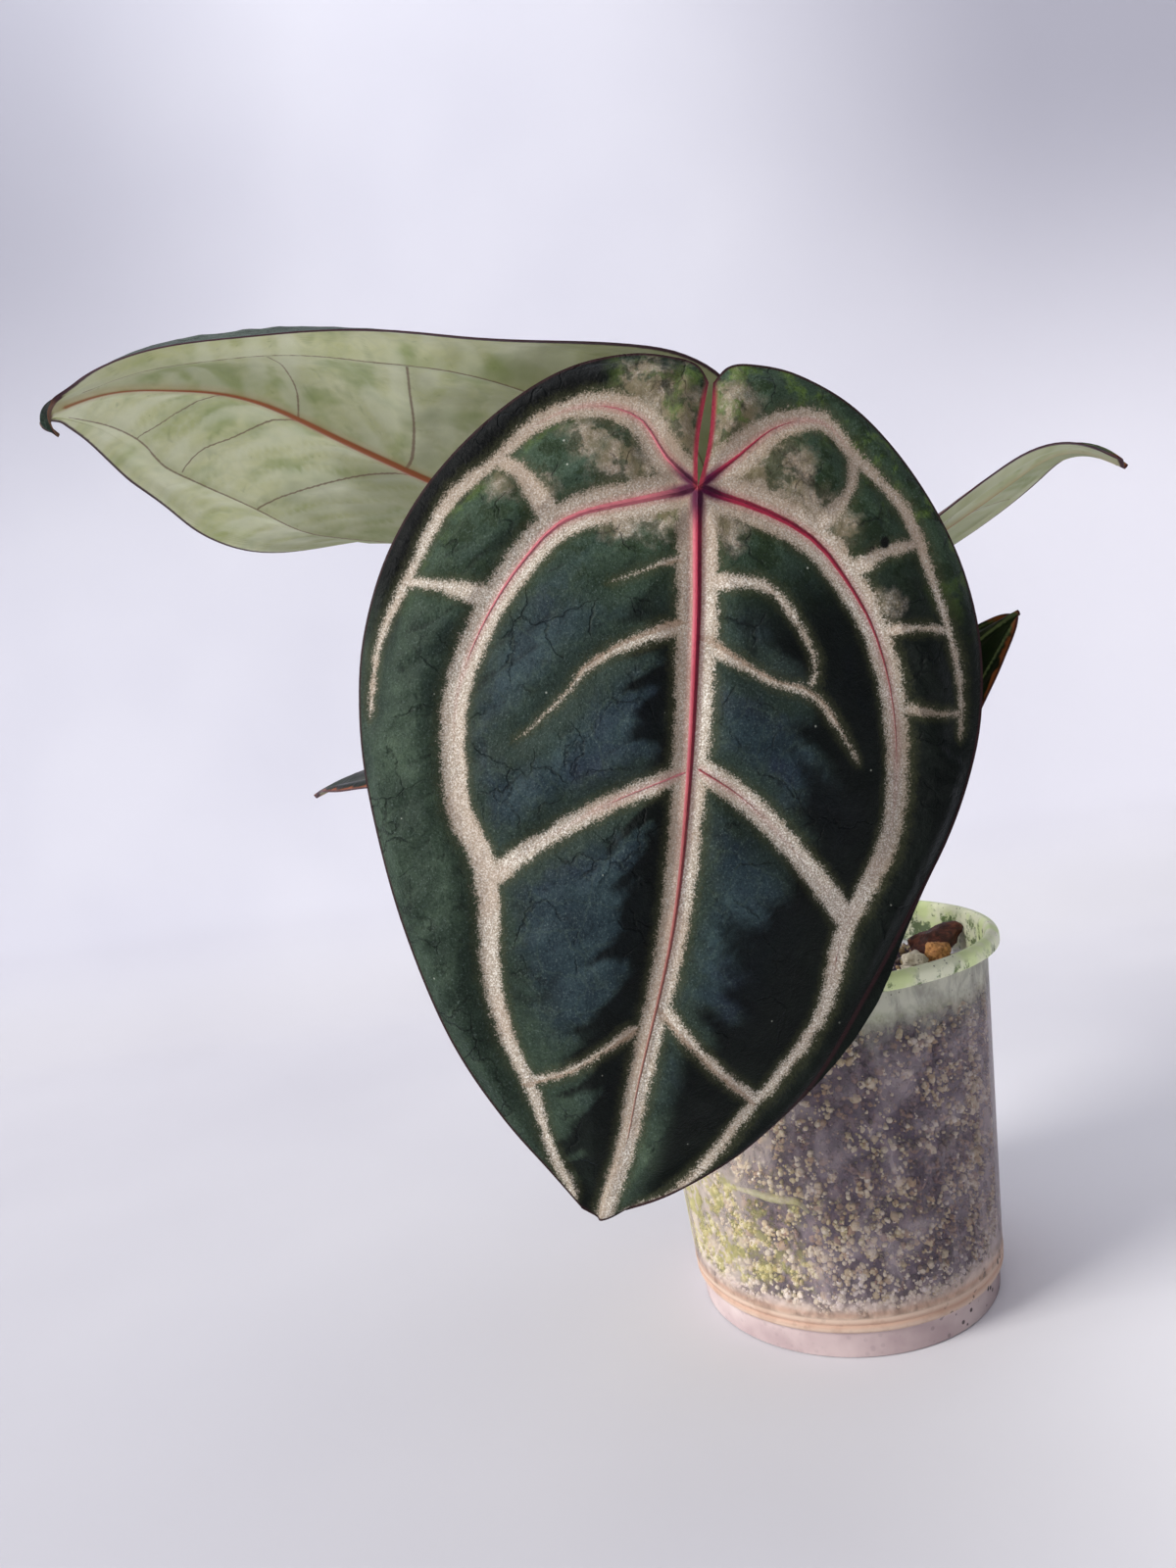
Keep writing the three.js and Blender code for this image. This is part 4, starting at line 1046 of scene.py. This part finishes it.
def make_leaf(name, leaf, veins, washes, scars, upper, under, quilt):
    """A closed blade: both faces on the same rays, with the veins sunk in channels above and
    standing out below. quilt scales that relief: 1 on the oldest blade."""
    left = half_blade(leaf, -1)
    right = half_blade(leaf, 1)
    rays = np.concatenate([left, right[:-1][::-1]])
    rays[..., 1] += leaf.get("drip", 0) * smooth_step(0.965, 1, rays[..., 1] / leaf["length"])
    ray_count, rings = len(rays), leaf["rings"]
    flat = np.concatenate([rays[:1, 0], rays[:, 1:].reshape(-1, 2)])
    reach = np.concatenate([[0], np.tile(np.linspace(0, 1, rings + 1)[1:], ray_count)])
    turn = np.concatenate([[0], np.repeat(np.linspace(0, 1, ray_count), rings)])
    fields, nearest_in = vein_fields(flat, veins)
    scale = leaf["length"] / DRAWN_LENGTH
    margin_line = np.concatenate([rays[0, 1:], rays[1:-1, -1], rays[-1, 1:][::-1]])
    fields["edge"] = beside(flat, margin_line[::2])[0]
    fields["reach"] = np.linalg.norm(flat, axis=1)
    fields["wash"] = wash_field(flat, washes)
    fields["scar"] = wash_field(flat, scars)
    fields["stem_y"] = flat[:, 1]

    across = bent(leaf, flat + (0.5, 0)) - bent(leaf, flat - (0.5, 0))
    along = bent(leaf, flat + (0, 0.5)) - bent(leaf, flat - (0, 0.5))
    normal = np.cross(across, along)
    normal /= np.linalg.norm(normal, axis=1)[:, None]

    wave = MARGIN_WAVE * reach**4 * np.sin(14 * np.pi * turn)
    inside = smooth_step(0, 6, fields["edge"])
    sunk = np.zeros(len(flat))
    for group, (depth, width, other_width) in VEIN_CHANNELS.items():
        wide = np.where(fields[f"{group}_off"] > 0, width, other_width) * scale
        sunk = np.maximum(sunk, depth * (1 - smooth_step(0.3, wide, nearest_in[group])))
    fields["fold"] = folds(flat / scale)
    fold = FOLD_HEIGHT * fields["fold"] * smooth_step(1, 8, fields["fine"])
    lift = wave + inside * quilt * (fold - sunk + sunk[0] / 2)
    half_thick = BLADE_THICKNESS / 2 * (0.45 + 0.55 * smooth_step(0, 2.5, fields["edge"]))
    stout = np.minimum(nearest_in["midrib"], nearest_in["lateral"])
    taper = inside * (1 - 0.7 * reach)
    rib = taper * (1.0 * np.exp(-((stout / 1.5) ** 2)) + 0.3 * np.exp(-((fields["fine"] / 0.8) ** 2)))
    cord = taper * quilt * 0.8 * np.exp(-((nearest_in["midrib"] / 1.3) ** 4))
    place = bent(leaf, flat)
    top = place + normal * (lift + half_thick + cord)[:, None]
    bottom = place + normal * (lift - half_thick - rib)[:, None]

    faces, sides = blade_faces(ray_count, rings)
    places = np.concatenate([top, bottom]) * MM + np.array(POT_AXIS)
    piece = new_mesh(name, places, faces)
    for field, values in fields.items():
        give_field(piece, field, np.concatenate([values, values]))
    piece.data.materials.append(upper)
    piece.data.materials.append(under)
    piece.data.polygons.foreach_set("material_index", sides)
    outwards(piece)
    bpy.ops.object.shade_smooth_by_angle(angle=math.radians(50))
    return piece


SOLID_MERGE = 0.00001


def copy_of(node, name, material):
    """A piece of its own with a solid's shape, its loose triangles merged."""
    piece = bpy.data.objects.new(name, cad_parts[node].data.copy())
    bpy.context.scene.collection.objects.link(piece)
    piece.data.materials.clear()
    piece.data.materials.append(material)
    only(piece)
    bpy.ops.mesh.customdata_custom_splitnormals_clear()
    bpy.ops.object.mode_set(mode="EDIT")
    bpy.ops.mesh.select_all(action="SELECT")
    bpy.ops.mesh.remove_doubles(threshold=SOLID_MERGE)
    bpy.ops.mesh.tris_convert_to_quads()
    bpy.ops.mesh.normals_make_consistent(inside=False)
    bpy.ops.object.mode_set(mode="OBJECT")
    return piece


def apply_modifier(piece, kind, **settings):
    only(piece)
    modifier = piece.modifiers.new(kind.lower(), kind)
    for name, value in settings.items():
        setattr(modifier, name, value)
    bpy.ops.object.modifier_apply(modifier=modifier.name)


def roughen(piece, amount, size, seed, stretch=(1, 1, 1)):
    """Moves a piece's surface in and out by seeded noise, amount and size in mm."""
    mesh = piece.data
    shift = Vector((seed * 3.7, seed * 1.3, seed * 7.1))
    normals = [vertex.normal.copy() for vertex in mesh.vertices]
    for vertex, normal in zip(mesh.vertices, normals):
        at = Vector([c * s / (size * MM) for c, s in zip(vertex.co, stretch)]) + shift
        vertex.co += normal * noise.fractal(at, 0.9, 2.0, 4) * amount * MM
    mesh.update()


def make_petiole(name, material):
    piece = copy_of(f"petiole_{name}", f"petiole_{name}_skin", material)
    apply_modifier(piece, "SUBSURF", levels=2, render_levels=2)
    apply_modifier(piece, "DISPLACE", strength=0.12 * MM, mid_level=0.0)
    roughen(piece, 0.1, 4, len(name), (1, 1, 0.3))
    bpy.ops.object.shade_smooth()
    return settle(piece, f"petiole_{name}")


def make_chunk(node, material, seed, amount, size, stretch=(1, 1, 1)):
    piece = copy_of(node, f"{node}_rough", material)
    apply_modifier(piece, "REMESH", mode="VOXEL", voxel_size=0.55 * MM)
    roughen(piece, amount, size, seed, stretch)
    bpy.ops.object.shade_smooth()
    return settle(piece, node)


def wall_radius(z):
    """The cup wall's inner radius at a height, in mm."""
    bottom, top = FOOT_HEIGHT + 4, CUP_HEIGHT - LIP_HEIGHT - 1
    inside = RIM_RADIUS - LIP_REACH - CUP_WALL
    return np.interp(z, [FOOT_HEIGHT + 1, bottom, top], [FOOT_RADIUS - 1, FOOT_RADIUS + 1.1, inside])


def rounded(corners, steps=5):
    """A closed outline with every corner that has a radius turned into a curve."""
    points = []
    count = len(corners)
    for index, (r, z, radius) in enumerate(corners):
        here = np.array((r, z), float)
        if radius == 0:
            points.append(here)
            continue
        before = np.array(corners[index - 1][:2], float) - here
        after = np.array(corners[(index + 1) % count][:2], float) - here
        start = here + before / np.linalg.norm(before) * min(radius, 0.45 * np.linalg.norm(before))
        end = here + after / np.linalg.norm(after) * min(radius, 0.45 * np.linalg.norm(after))
        for t in np.linspace(0, 1, steps):
            points.append((1 - t) ** 2 * start + 2 * t * (1 - t) * here + t**2 * end)
    return np.array(points)


# The cup is spun in this many steps. Its floor starts a hair off the axis, in mm, and the
# merge, in metres, closes the ring there and the seam.
CUP_STEPS = 144
AXIS_GAP = 0.02
CUP_MERGE = 0.00004


def make_cup(material):
    """The cup's section spun round its axis: rolled lip, wall, stacking beads, hollow foot."""
    inside = RIM_RADIUS - LIP_REACH - CUP_WALL
    lip_bottom = CUP_HEIGHT - LIP_HEIGHT
    section = rounded([
        (AXIS_GAP, FOOT_HEIGHT, 0),
        (FOOT_RADIUS - 1.6, FOOT_HEIGHT, 0.8),
        (FOOT_RADIUS - CUP_WALL - 0.3, FOOT_HEIGHT - 1.2, 0.6),
        (FOOT_RADIUS - CUP_WALL, 0.15, 0.2),
        (FOOT_RADIUS - 0.45, 0, 0.2),
        (FOOT_RADIUS, 0.15, 0.2),
        (FOOT_RADIUS + 0.5, FOOT_HEIGHT - 1, 0.8),
        (FOOT_RADIUS + 1.9, FOOT_HEIGHT + 0.2, 0.5),
        (FOOT_RADIUS + 1.9, FOOT_HEIGHT + 1.4, 0.5),
        (FOOT_RADIUS + 1.55, FOOT_HEIGHT + 2.0, 0.3),
        (FOOT_RADIUS + 2.15, FOOT_HEIGHT + 3.0, 0.5),
        (FOOT_RADIUS + 2.0, FOOT_HEIGHT + 4.2, 0.6),
        (inside + CUP_WALL, lip_bottom + 0.4, 1.2),
        (inside + CUP_WALL + 0.6, CUP_HEIGHT - 1.8, 0.6),
        (RIM_RADIUS - CUP_WALL, CUP_HEIGHT - 2, 0.6),
        (RIM_RADIUS - CUP_WALL, lip_bottom, 0.2),
        (RIM_RADIUS, lip_bottom, 0.4),
        (RIM_RADIUS, CUP_HEIGHT - 1.4, 1.6),
        (RIM_RADIUS - 1.6, CUP_HEIGHT, 1.4),
        (inside + 1.4, CUP_HEIGHT, 1.2),
        (inside + 0.3, CUP_HEIGHT - 1.6, 1.0),
        (inside, lip_bottom - 1, 2),
        (FOOT_RADIUS + 1.1, FOOT_HEIGHT + 4, 1),
        (FOOT_RADIUS + 0.3, FOOT_HEIGHT + 2, 0.6),
        (FOOT_RADIUS - 1, FOOT_HEIGHT + 1, 0.6),
        (AXIS_GAP, FOOT_HEIGHT + 1, 0),
    ])
    bpy.ops.mesh.primitive_circle_add(vertices=len(section), radius=1, fill_type="NOTHING")
    piece = bpy.context.object
    piece.name = "cup_wall"
    for vertex, (r, z) in zip(piece.data.vertices, section):
        vertex.co = POT_AXIS + Vector((r * MM, 0, z * MM))
    bpy.ops.object.mode_set(mode="EDIT")
    bpy.ops.mesh.select_all(action="SELECT")
    bpy.ops.mesh.spin(steps=CUP_STEPS, angle=2 * math.pi, center=POT_AXIS, axis=(0, 0, 1))
    bpy.ops.mesh.select_all(action="SELECT")
    bpy.ops.mesh.remove_doubles(threshold=CUP_MERGE)
    bpy.ops.mesh.normals_make_consistent(inside=False)
    bpy.ops.object.mode_set(mode="OBJECT")
    places = np.array([vertex.co for vertex in piece.data.vertices]) / MM - np.array(POT_AXIS) / MM
    radius = np.hypot(places[:, 0], places[:, 1])
    give_field(piece, "outside", radius > wall_radius(places[:, 2]) + CUP_WALL * 0.6)
    piece.data.materials.append(material)
    bpy.ops.object.shade_smooth_by_angle(angle=math.radians(40))
    return settle(piece, "cup")


def turned(count, random):
    """Random turns as matrices."""
    q = random.normal(size=(count, 4))
    q /= np.linalg.norm(q, axis=1)[:, None]
    w, x, y, z = q.T
    return np.array([
        [1 - 2 * (y * y + z * z), 2 * (x * y - z * w), 2 * (x * z + y * w)],
        [2 * (x * y + z * w), 1 - 2 * (x * x + z * z), 2 * (y * z - x * w)],
        [2 * (x * z - y * w), 2 * (y * z + x * w), 1 - 2 * (x * x + y * y)],
    ]).transpose(2, 0, 1)


def crumb_shape(random, rounding):
    """One irregular crumb of unit size: 20 faces, or 80 where it is rounder."""
    bpy.ops.mesh.primitive_ico_sphere_add(subdivisions=rounding, radius=1)
    ball = bpy.context.object
    places = np.array([vertex.co for vertex in ball.data.vertices])
    faces = [list(polygon.vertices) for polygon in ball.data.polygons]
    bpy.data.objects.remove(ball)
    return places * random.uniform(0.72, 1.0, size=(len(places), 1)), faces


def make_grains(name, centres, sizes, tint, green, material, seed, rounding=1):
    """Many crumbs in one piece; sizes are each crumb's three half sizes in mm."""
    random = np.random.default_rng(seed)
    shape, faces = crumb_shape(random, rounding)
    count = len(centres)
    spun = np.einsum("nij,nkj->nki", turned(count, random), shape[None] * sizes[:, None])
    places = (spun + centres[:, None]).reshape(-1, 3) * MM + np.array(POT_AXIS)
    all_faces = (np.array(faces)[None] + len(shape) * np.arange(count)[:, None, None]).reshape(-1, 3)
    piece = new_mesh(name, places, all_faces.tolist())
    give_field(piece, "tint", np.repeat(tint, len(shape)))
    give_field(piece, "green", np.repeat(green, len(shape)))
    piece.data.materials.append(material)
    only(piece)
    bpy.ops.object.shade_smooth_by_angle(angle=math.radians(60))
    return settle(piece, "soil")


# The mix: how far its body lies inside the solid in mm, and the numbers of crumbs
BODY_INSET = 1.1
WALL_GRAIN_PIECES = 2
WALL_GRAINS = 8600
WALL_LUMPS = 380
FOOT_STONES = 110
TOP_GRAINS = 1500

# Roots that show through the wall: their angle in degrees, height and half width in mm
WALL_ROOTS = [
    [(-141, 49.1, 0.5), (-130, 48.2, 1.0), (-122, 47.3, 1.4), (-115, 47.3, 1.1), (-111, 44.3, 0.4)],
    [(58, 84, 0.9), (70, 68, 1.2), (80, 52, 1.1), (96, 40, 0.9), (106, 30, 0.4)],
    [(148, 88, 0.9), (162, 76, 1.2), (172, 60, 1.0), (188, 52, 0.5)],
    [(16, 62, 0.5), (30, 52, 1.0), (44, 49, 1.0), (58, 38, 0.4)],
]


def root_line(stations):
    return curve_at(stations, np.linspace(0, 1, 30)).T


def beside_roots(angle, z):
    """How far places on the wall are from the nearest root's skin, in mm."""
    clear = np.full(len(z), 99.0)
    for stations in WALL_ROOTS:
        for root_angle, root_z, half in root_line(stations).T:
            turn = (angle - np.radians(root_angle) + np.pi) % (2 * np.pi) - np.pi
            clear = np.minimum(clear, np.hypot(turn * wall_radius(z), z - root_z) - half)
    return clear


def make_wall_root(index, material):
    """A root squeezed against the wall, as a tube that tapers to both ends."""
    angle, z, half = root_line(WALL_ROOTS[index])
    radius = wall_radius(z) - 0.3 - half
    line = bpy.data.curves.new(f"wall_root_{index}", "CURVE")
    line.dimensions = "3D"
    line.bevel_depth = MM
    line.bevel_resolution = 4
    line.use_fill_caps = True
    spline = line.splines.new("POLY")
    spline.points.add(len(z) - 1)
    for point, a, r, height, width in zip(spline.points, np.radians(angle), radius, z, half):
        place = POT_AXIS + Vector((r * math.cos(a), r * math.sin(a), height)) * MM
        point.co = (*place, 1)
        point.radius = width
    piece = bpy.data.objects.new(f"wall_root_{index}", line)
    bpy.context.scene.collection.objects.link(piece)
    only(piece)
    bpy.ops.object.convert(target="MESH")
    piece.data.materials.append(material)
    outwards(piece)
    apply_modifier(piece, "SUBSURF", levels=1, render_levels=1)
    roughen(piece, 0.25, 3, 40 + index)
    bpy.ops.object.shade_smooth()
    return settle(piece, "soil")


def around(radius, angle, z):
    return np.column_stack([radius * np.cos(angle), radius * np.sin(angle), z])


def squashed(random, size, flattest=0.6):
    """Three half sizes for each crumb, every one somewhat smaller than its size."""
    return size[:, None] * random.uniform(flattest, 1.0, (len(size), 3))


def noise_at(places, size, shift=0):
    return np.array([noise.noise(Vector(place) / size + Vector((shift, 0, 0))) for place in places])


def wall_crumbs(part, count, random, finish):
    """Small crumbs against the wall: pale ones in clumps, near white at the foot, and green with
    algae at the left."""
    angle = random.uniform(0, 2 * np.pi, count)
    z = random.uniform(FOOT_HEIGHT + 3.4, SOIL_LEVEL - 1, count)
    size = random.gamma(4, 0.21, count).clip(0.35, 2.3)
    clear = beside_roots(angle, z) > size * 0.6
    angle, z, size = angle[clear], z[clear], size[clear]
    count = len(size)
    centres = around(wall_radius(z) - 0.25 - size * 0.8, angle, z)
    sizes = squashed(random, size)
    clump = noise_at(centres, 10) + 0.6 * noise_at(centres, 4)
    pale = clump + random.normal(0, 0.2, count) + 0.3 * smooth_step(34, 14, z) - 0.02
    tint = np.where(pale > 0, random.uniform(0.46, 0.9, count), random.uniform(0.0, 0.42, count))
    at_foot = random.uniform(0, 1, count) < smooth_step(26, 14, z)
    tint = np.where(at_foot, random.uniform(0.8, 1, count), tint)
    to_left = 0.5 - 0.5 * np.cos(angle)
    patch = smooth_step(-0.1, 0.35, noise_at(centres, 14, 9))
    green = patch * to_left * smooth_step(14, 30, z) * smooth_step(84, 60, z)
    green = green * random.uniform(0, 1, count)
    make_grains(f"mix_wall_grains_{part}", centres, sizes, tint, green, finish, 21 + part)


def wall_lumps(name, count, lowest, highest, low_tint, seed, random, finish):
    """Bigger, rounder and paler lumps against the wall."""
    angle = random.uniform(0, 2 * np.pi, count)
    z = random.uniform(lowest, highest, count)
    size = random.uniform(1.2, 2.3, count)
    centres = around(wall_radius(z) - 0.3 - size * 0.75, angle, z)
    sizes = squashed(random, size)
    tint = random.uniform(low_tint, 1, count) * np.where(z < 20, 1, 0.86)
    make_grains(name, centres, sizes, tint, np.zeros(count), finish, seed, 2)


def top_crumbs(count, random, finish):
    """Crumbs on the top of the mix, a quarter of them pale."""
    angle = random.uniform(0, 2 * np.pi, count)
    radius = wall_radius(SOIL_LEVEL) * np.sqrt(random.uniform(0.06, 1, count)) - 2.5
    size = random.gamma(4, 0.35, count).clip(0.5, 3.2)
    z = SOIL_LEVEL - 0.6 + random.uniform(-0.5, 0.8, count)
    centres = around(radius, angle, z)
    sizes = squashed(random, size, 0.45) * (1, 1, 0.8)
    is_pale = random.uniform(0, 1, count) < 0.25
    tint = np.where(is_pale, random.uniform(0.6, 1, count), random.uniform(0.1, 0.5, count))
    green = 0.3 * random.uniform(0, 1, count)
    make_grains("mix_top_grains", centres, sizes, tint, green, finish, 25)


def make_mix(body_finish, crumb_finish):
    """The mix: a dark body a little inside its solid, and crumbs against the wall and on top."""
    body = copy_of("soil", "mix_body", body_finish)
    apply_modifier(body, "DISPLACE", strength=-BODY_INSET * MM, mid_level=0.0)
    settle(body, "soil")
    random = np.random.default_rng(5)
    for part in range(WALL_GRAIN_PIECES):
        wall_crumbs(part, WALL_GRAINS, random, crumb_finish)
    foot = FOOT_HEIGHT + 4.6, FOOT_HEIGHT + 9
    wall_lumps("mix_wall_lumps", WALL_LUMPS, 18, SOIL_LEVEL - 6, 0.45, 31, random, crumb_finish)
    wall_lumps("mix_foot_stones", FOOT_STONES, *foot, 0.86, 32, random, crumb_finish)
    top_crumbs(TOP_GRAINS, random, crumb_finish)


def make_crown(material):
    piece = copy_of("crown", "crown_stub", material)
    apply_modifier(piece, "REMESH", mode="VOXEL", voxel_size=0.75 * MM)
    roughen(piece, 0.5, 3, 4, (1, 1, 0.3))
    bpy.ops.object.shade_smooth()
    return settle(piece, "crown")


def make_stage():
    """A pale floor that turns up into a backdrop, which is clear from behind, with painted light and shade on
    both.
    """
    floor_start, floor_end, turn_radius, wall_top, half_width = -7.0, 0.36, 0.07, 2.2, 7.0
    below_cup = 0.0002
    section = [(floor_start, 0.0), (floor_end, 0.0)]
    for step in range(1, 9):
        angle = step / 8 * math.pi / 2
        section.append((floor_end + turn_radius * math.sin(angle), turn_radius * (1 - math.cos(angle))))
    section.append((floor_end + turn_radius, wall_top))
    places = np.array([(side * half_width, y, z - below_cup) for y, z in section for side in (-1, 1)])
    faces = [[2 * k, 2 * k + 1, 2 * k + 3, 2 * k + 2] for k in range(len(section) - 1)]
    stage = new_mesh("floor_and_backdrop", places, faces)
    f = Finish("paper")
    tone = f.noise(180, 2)
    wall = f.ramp(tone, [(0.3, (226, 226, 236)), (0.7, (236, 236, 244))])
    floor = f.ramp(tone, [(0.3, (206, 205, 210)), (0.7, (214, 213, 217))])
    place = f.add("ShaderNodeSeparateXYZ", {0: f.object})
    # Painted shade: the floor is darker towards the left.
    floor = f.mix(f.spread(place.outputs["X"], 0.05, -0.2, 0, 0.3), floor, srgb(182, 180, 188))
    # Painted light on the floor near the front right.
    painted_light_near_right = f.spread(place.outputs["X"], 0.0, 0.14)
    painted_light_near_right = f.times(painted_light_near_right, f.spread(place.outputs["Y"], 0.2, -0.05))
    floor = f.mix(painted_light_near_right, floor, srgb(240, 239, 242))
    # Painted light: the backdrop is brighter towards the right.
    wall = f.mix(f.spread(place.outputs["X"], 0.05, 0.45, 0, 0.7), wall, srgb(246, 245, 252))
    # Painted shade darkening the backdrop towards its upper corners.
    aside = f.math("ABSOLUTE", f.math("ADD", place.outputs["X"], 0.02))
    corner = f.times(f.spread(aside, 0.05, 0.4), f.spread(place.outputs["Z"], 0.28, 0.62))
    wall = f.mix(f.times(corner, 0.95), wall, srgb(176, 176, 188))
    f.principled(Base_Color=f.mix(f.spread(f.height(), 0.0, 0.09), floor, wall), Roughness=0.9)
    behind = f.add("ShaderNodeNewGeometry").outputs["Backfacing"]
    f.blend(behind, f.shader.outputs[0], f.add("ShaderNodeBsdfTransparent").outputs[0])
    stage.data.materials.append(f.material)
    only(stage)
    bpy.ops.object.shade_smooth()


ROOM_BRIGHT = 0.78
ROOM_DIM = 0.1
ROOM_FROM = (-0.6, 0.2, 0.77)
SUN_FROM = (-0.93, -0.38, 0.46)
SUN_STRENGTH = 3.1
SUN_ANGLE = math.radians(22)
SKY_POWER = 3
FILL_POWER = 0.6


def area_light(name, at, towards, size, power, colour):
    light = bpy.data.lights.new(name, "AREA")
    light.size = size
    light.energy = power
    light.color = colour
    lamp = bpy.data.objects.new(name, light)
    bpy.context.scene.collection.objects.link(lamp)
    lamp.location = at
    lamp.rotation_euler = (Vector(towards) - Vector(at)).to_track_quat("-Z", "Y").to_euler()


def make_light():
    """A soft room, brighter towards the upper left, with a wide sun there as its window, a lamp
    above and a weak one in front."""
    world = bpy.data.worlds.new("soft_room")
    world.use_nodes = True
    nodes, links = world.node_tree.nodes, world.node_tree.links
    direction = nodes.new("ShaderNodeTexCoord")
    towards = nodes.new("ShaderNodeVectorMath")
    towards.operation = "DOT_PRODUCT"
    towards.inputs[1].default_value = ROOM_FROM
    level = nodes.new("ShaderNodeMapRange")
    level.interpolation_type = "SMOOTHSTEP"
    links.new(direction.outputs["Generated"], towards.inputs[0])
    links.new(towards.outputs["Value"], level.inputs["Value"])
    links.new(level.outputs["Result"], nodes["Background"].inputs["Strength"])
    for name, value in (("From Min", -0.6), ("From Max", 1), ("To Min", ROOM_DIM), ("To Max", ROOM_BRIGHT)):
        level.inputs[name].default_value = value
    nodes["Background"].inputs["Color"].default_value = (0.9, 0.9, 1.0, 1)
    bpy.context.scene.world = world
    sun = bpy.data.lights.new("window_sun", "SUN")
    sun.energy = SUN_STRENGTH
    sun.angle = SUN_ANGLE
    sun.color = (1.0, 0.98, 0.96)
    lamp = bpy.data.objects.new("window_sun", sun)
    bpy.context.scene.collection.objects.link(lamp)
    lamp.rotation_euler = Vector(SUN_FROM).to_track_quat("Z", "Y").to_euler()
    area_light("sky", (-0.3, 0.3, 1.1), (0.0, 0.1, 0.1), 0.6, SKY_POWER, (0.95, 0.98, 1.0))
    area_light("fill", (-0.4, -0.6, 0.1), (0.0, 0.0, 0.15), 0.5, FILL_POWER, (1.0, 0.98, 0.96))


# The camera stands in front of the leaf, a little to the left, and leans to the left
CAMERA_AT = (-63.2, -337.0, 191.3)
CAMERA_PITCH = math.radians(3.4)
CAMERA_ROLL = math.radians(-7.9)
FOCAL_PIXELS = 1073
PHOTO_HEIGHT = 1600
SENSOR = 36


def make_camera():
    data = bpy.data.cameras.new("camera")
    data.sensor_width = SENSOR
    data.lens = FOCAL_PIXELS * SENSOR / PHOTO_HEIGHT
    camera = bpy.data.objects.new("camera", data)
    bpy.context.scene.collection.objects.link(camera)
    ahead = Vector((0, math.cos(CAMERA_PITCH), -math.sin(CAMERA_PITCH)))
    level_up = Vector((0, math.sin(CAMERA_PITCH), math.cos(CAMERA_PITCH)))
    level_right = Vector((1, 0, 0))
    right = math.cos(CAMERA_ROLL) * level_right + math.sin(CAMERA_ROLL) * level_up
    up = -math.sin(CAMERA_ROLL) * level_right + math.cos(CAMERA_ROLL) * level_up
    turn = Matrix((right, up, -ahead)).transposed().to_4x4()
    camera.matrix_world = Matrix.Translation(POT_AXIS + Vector(CAMERA_AT) * MM) @ turn
    bpy.context.scene.camera = camera


make_camera()
make_light()
make_stage()
bpy.context.scene.view_settings.view_transform = "Standard"

velvet = velvet_finish()
young = young_finish()
underside = underside_finish("leaf_underside", 0)
young_underside = underside_finish("leaf_young_underside", 0.4)
front = make_leaf(
    "leaf_front_blade", LEAVES["front"], FRONT_VEINS, FRONT_WASHES, FRONT_SCARS, velvet, underside, 1,
)
settle(front, "leaf_front")
back = make_leaf("leaf_back_left_blade", LEAVES["back_left"], BACK_VEINS, [], [], velvet, underside, 0.6)
settle(back, "leaf_back_left")
for leaf_name, quilt in (("right_upper", 0.3), ("right_middle", 0.25), ("left_low", 0.25)):
    grown = LEAVES[leaf_name]
    name = f"leaf_{leaf_name}"
    blade = make_leaf(f"{name}_blade", grown, young_veins(grown), [], [], young, young_underside, quilt)
    settle(blade, name)

petiole_skin = petiole_finish()
for leaf_name in LEAVES:
    make_petiole(leaf_name, petiole_skin)
make_crown(crown_finish())

red_bark = bark_finish("bark_red", (34, 16, 16), (80, 40, 34), (134, 78, 62), (0.35, 1, 1))
brown_bark = bark_finish("bark_brown", (34, 22, 20), (74, 48, 38), (120, 88, 66), (1, 0.35, 1))
make_chunk("bark_chip_large", red_bark, 1, 0.9, 5, (1, 0.5, 1))
for seed, chip in enumerate(("bark_chip_left", "bark_chip_back", "bark_chip_front"), 2):
    make_chunk(chip, brown_bark, seed, 0.8, 5, (1, 0.5, 1))
tan = stone_finish("tan_stone_crumb", (132, 74, 36), (214, 158, 98), (92, 48, 24))
pumice = stone_finish("pumice_crumb", (168, 154, 132), (226, 218, 202), (112, 96, 80))
make_chunk("tan_stone", tan, 6, 0.9, 3)
for seed, lump in enumerate(("pumice_middle", "pumice_right", "pumice_front", "pumice_left"), 7):
    make_chunk(lump, pumice, seed, 0.7, 3)
make_mix(mix_finish(), grain_finish())
root_skin = root_finish()
for root in range(len(WALL_ROOTS)):
    make_wall_root(root, root_skin)
make_cup(cup_finish())

bpy.context.view_layer.update()
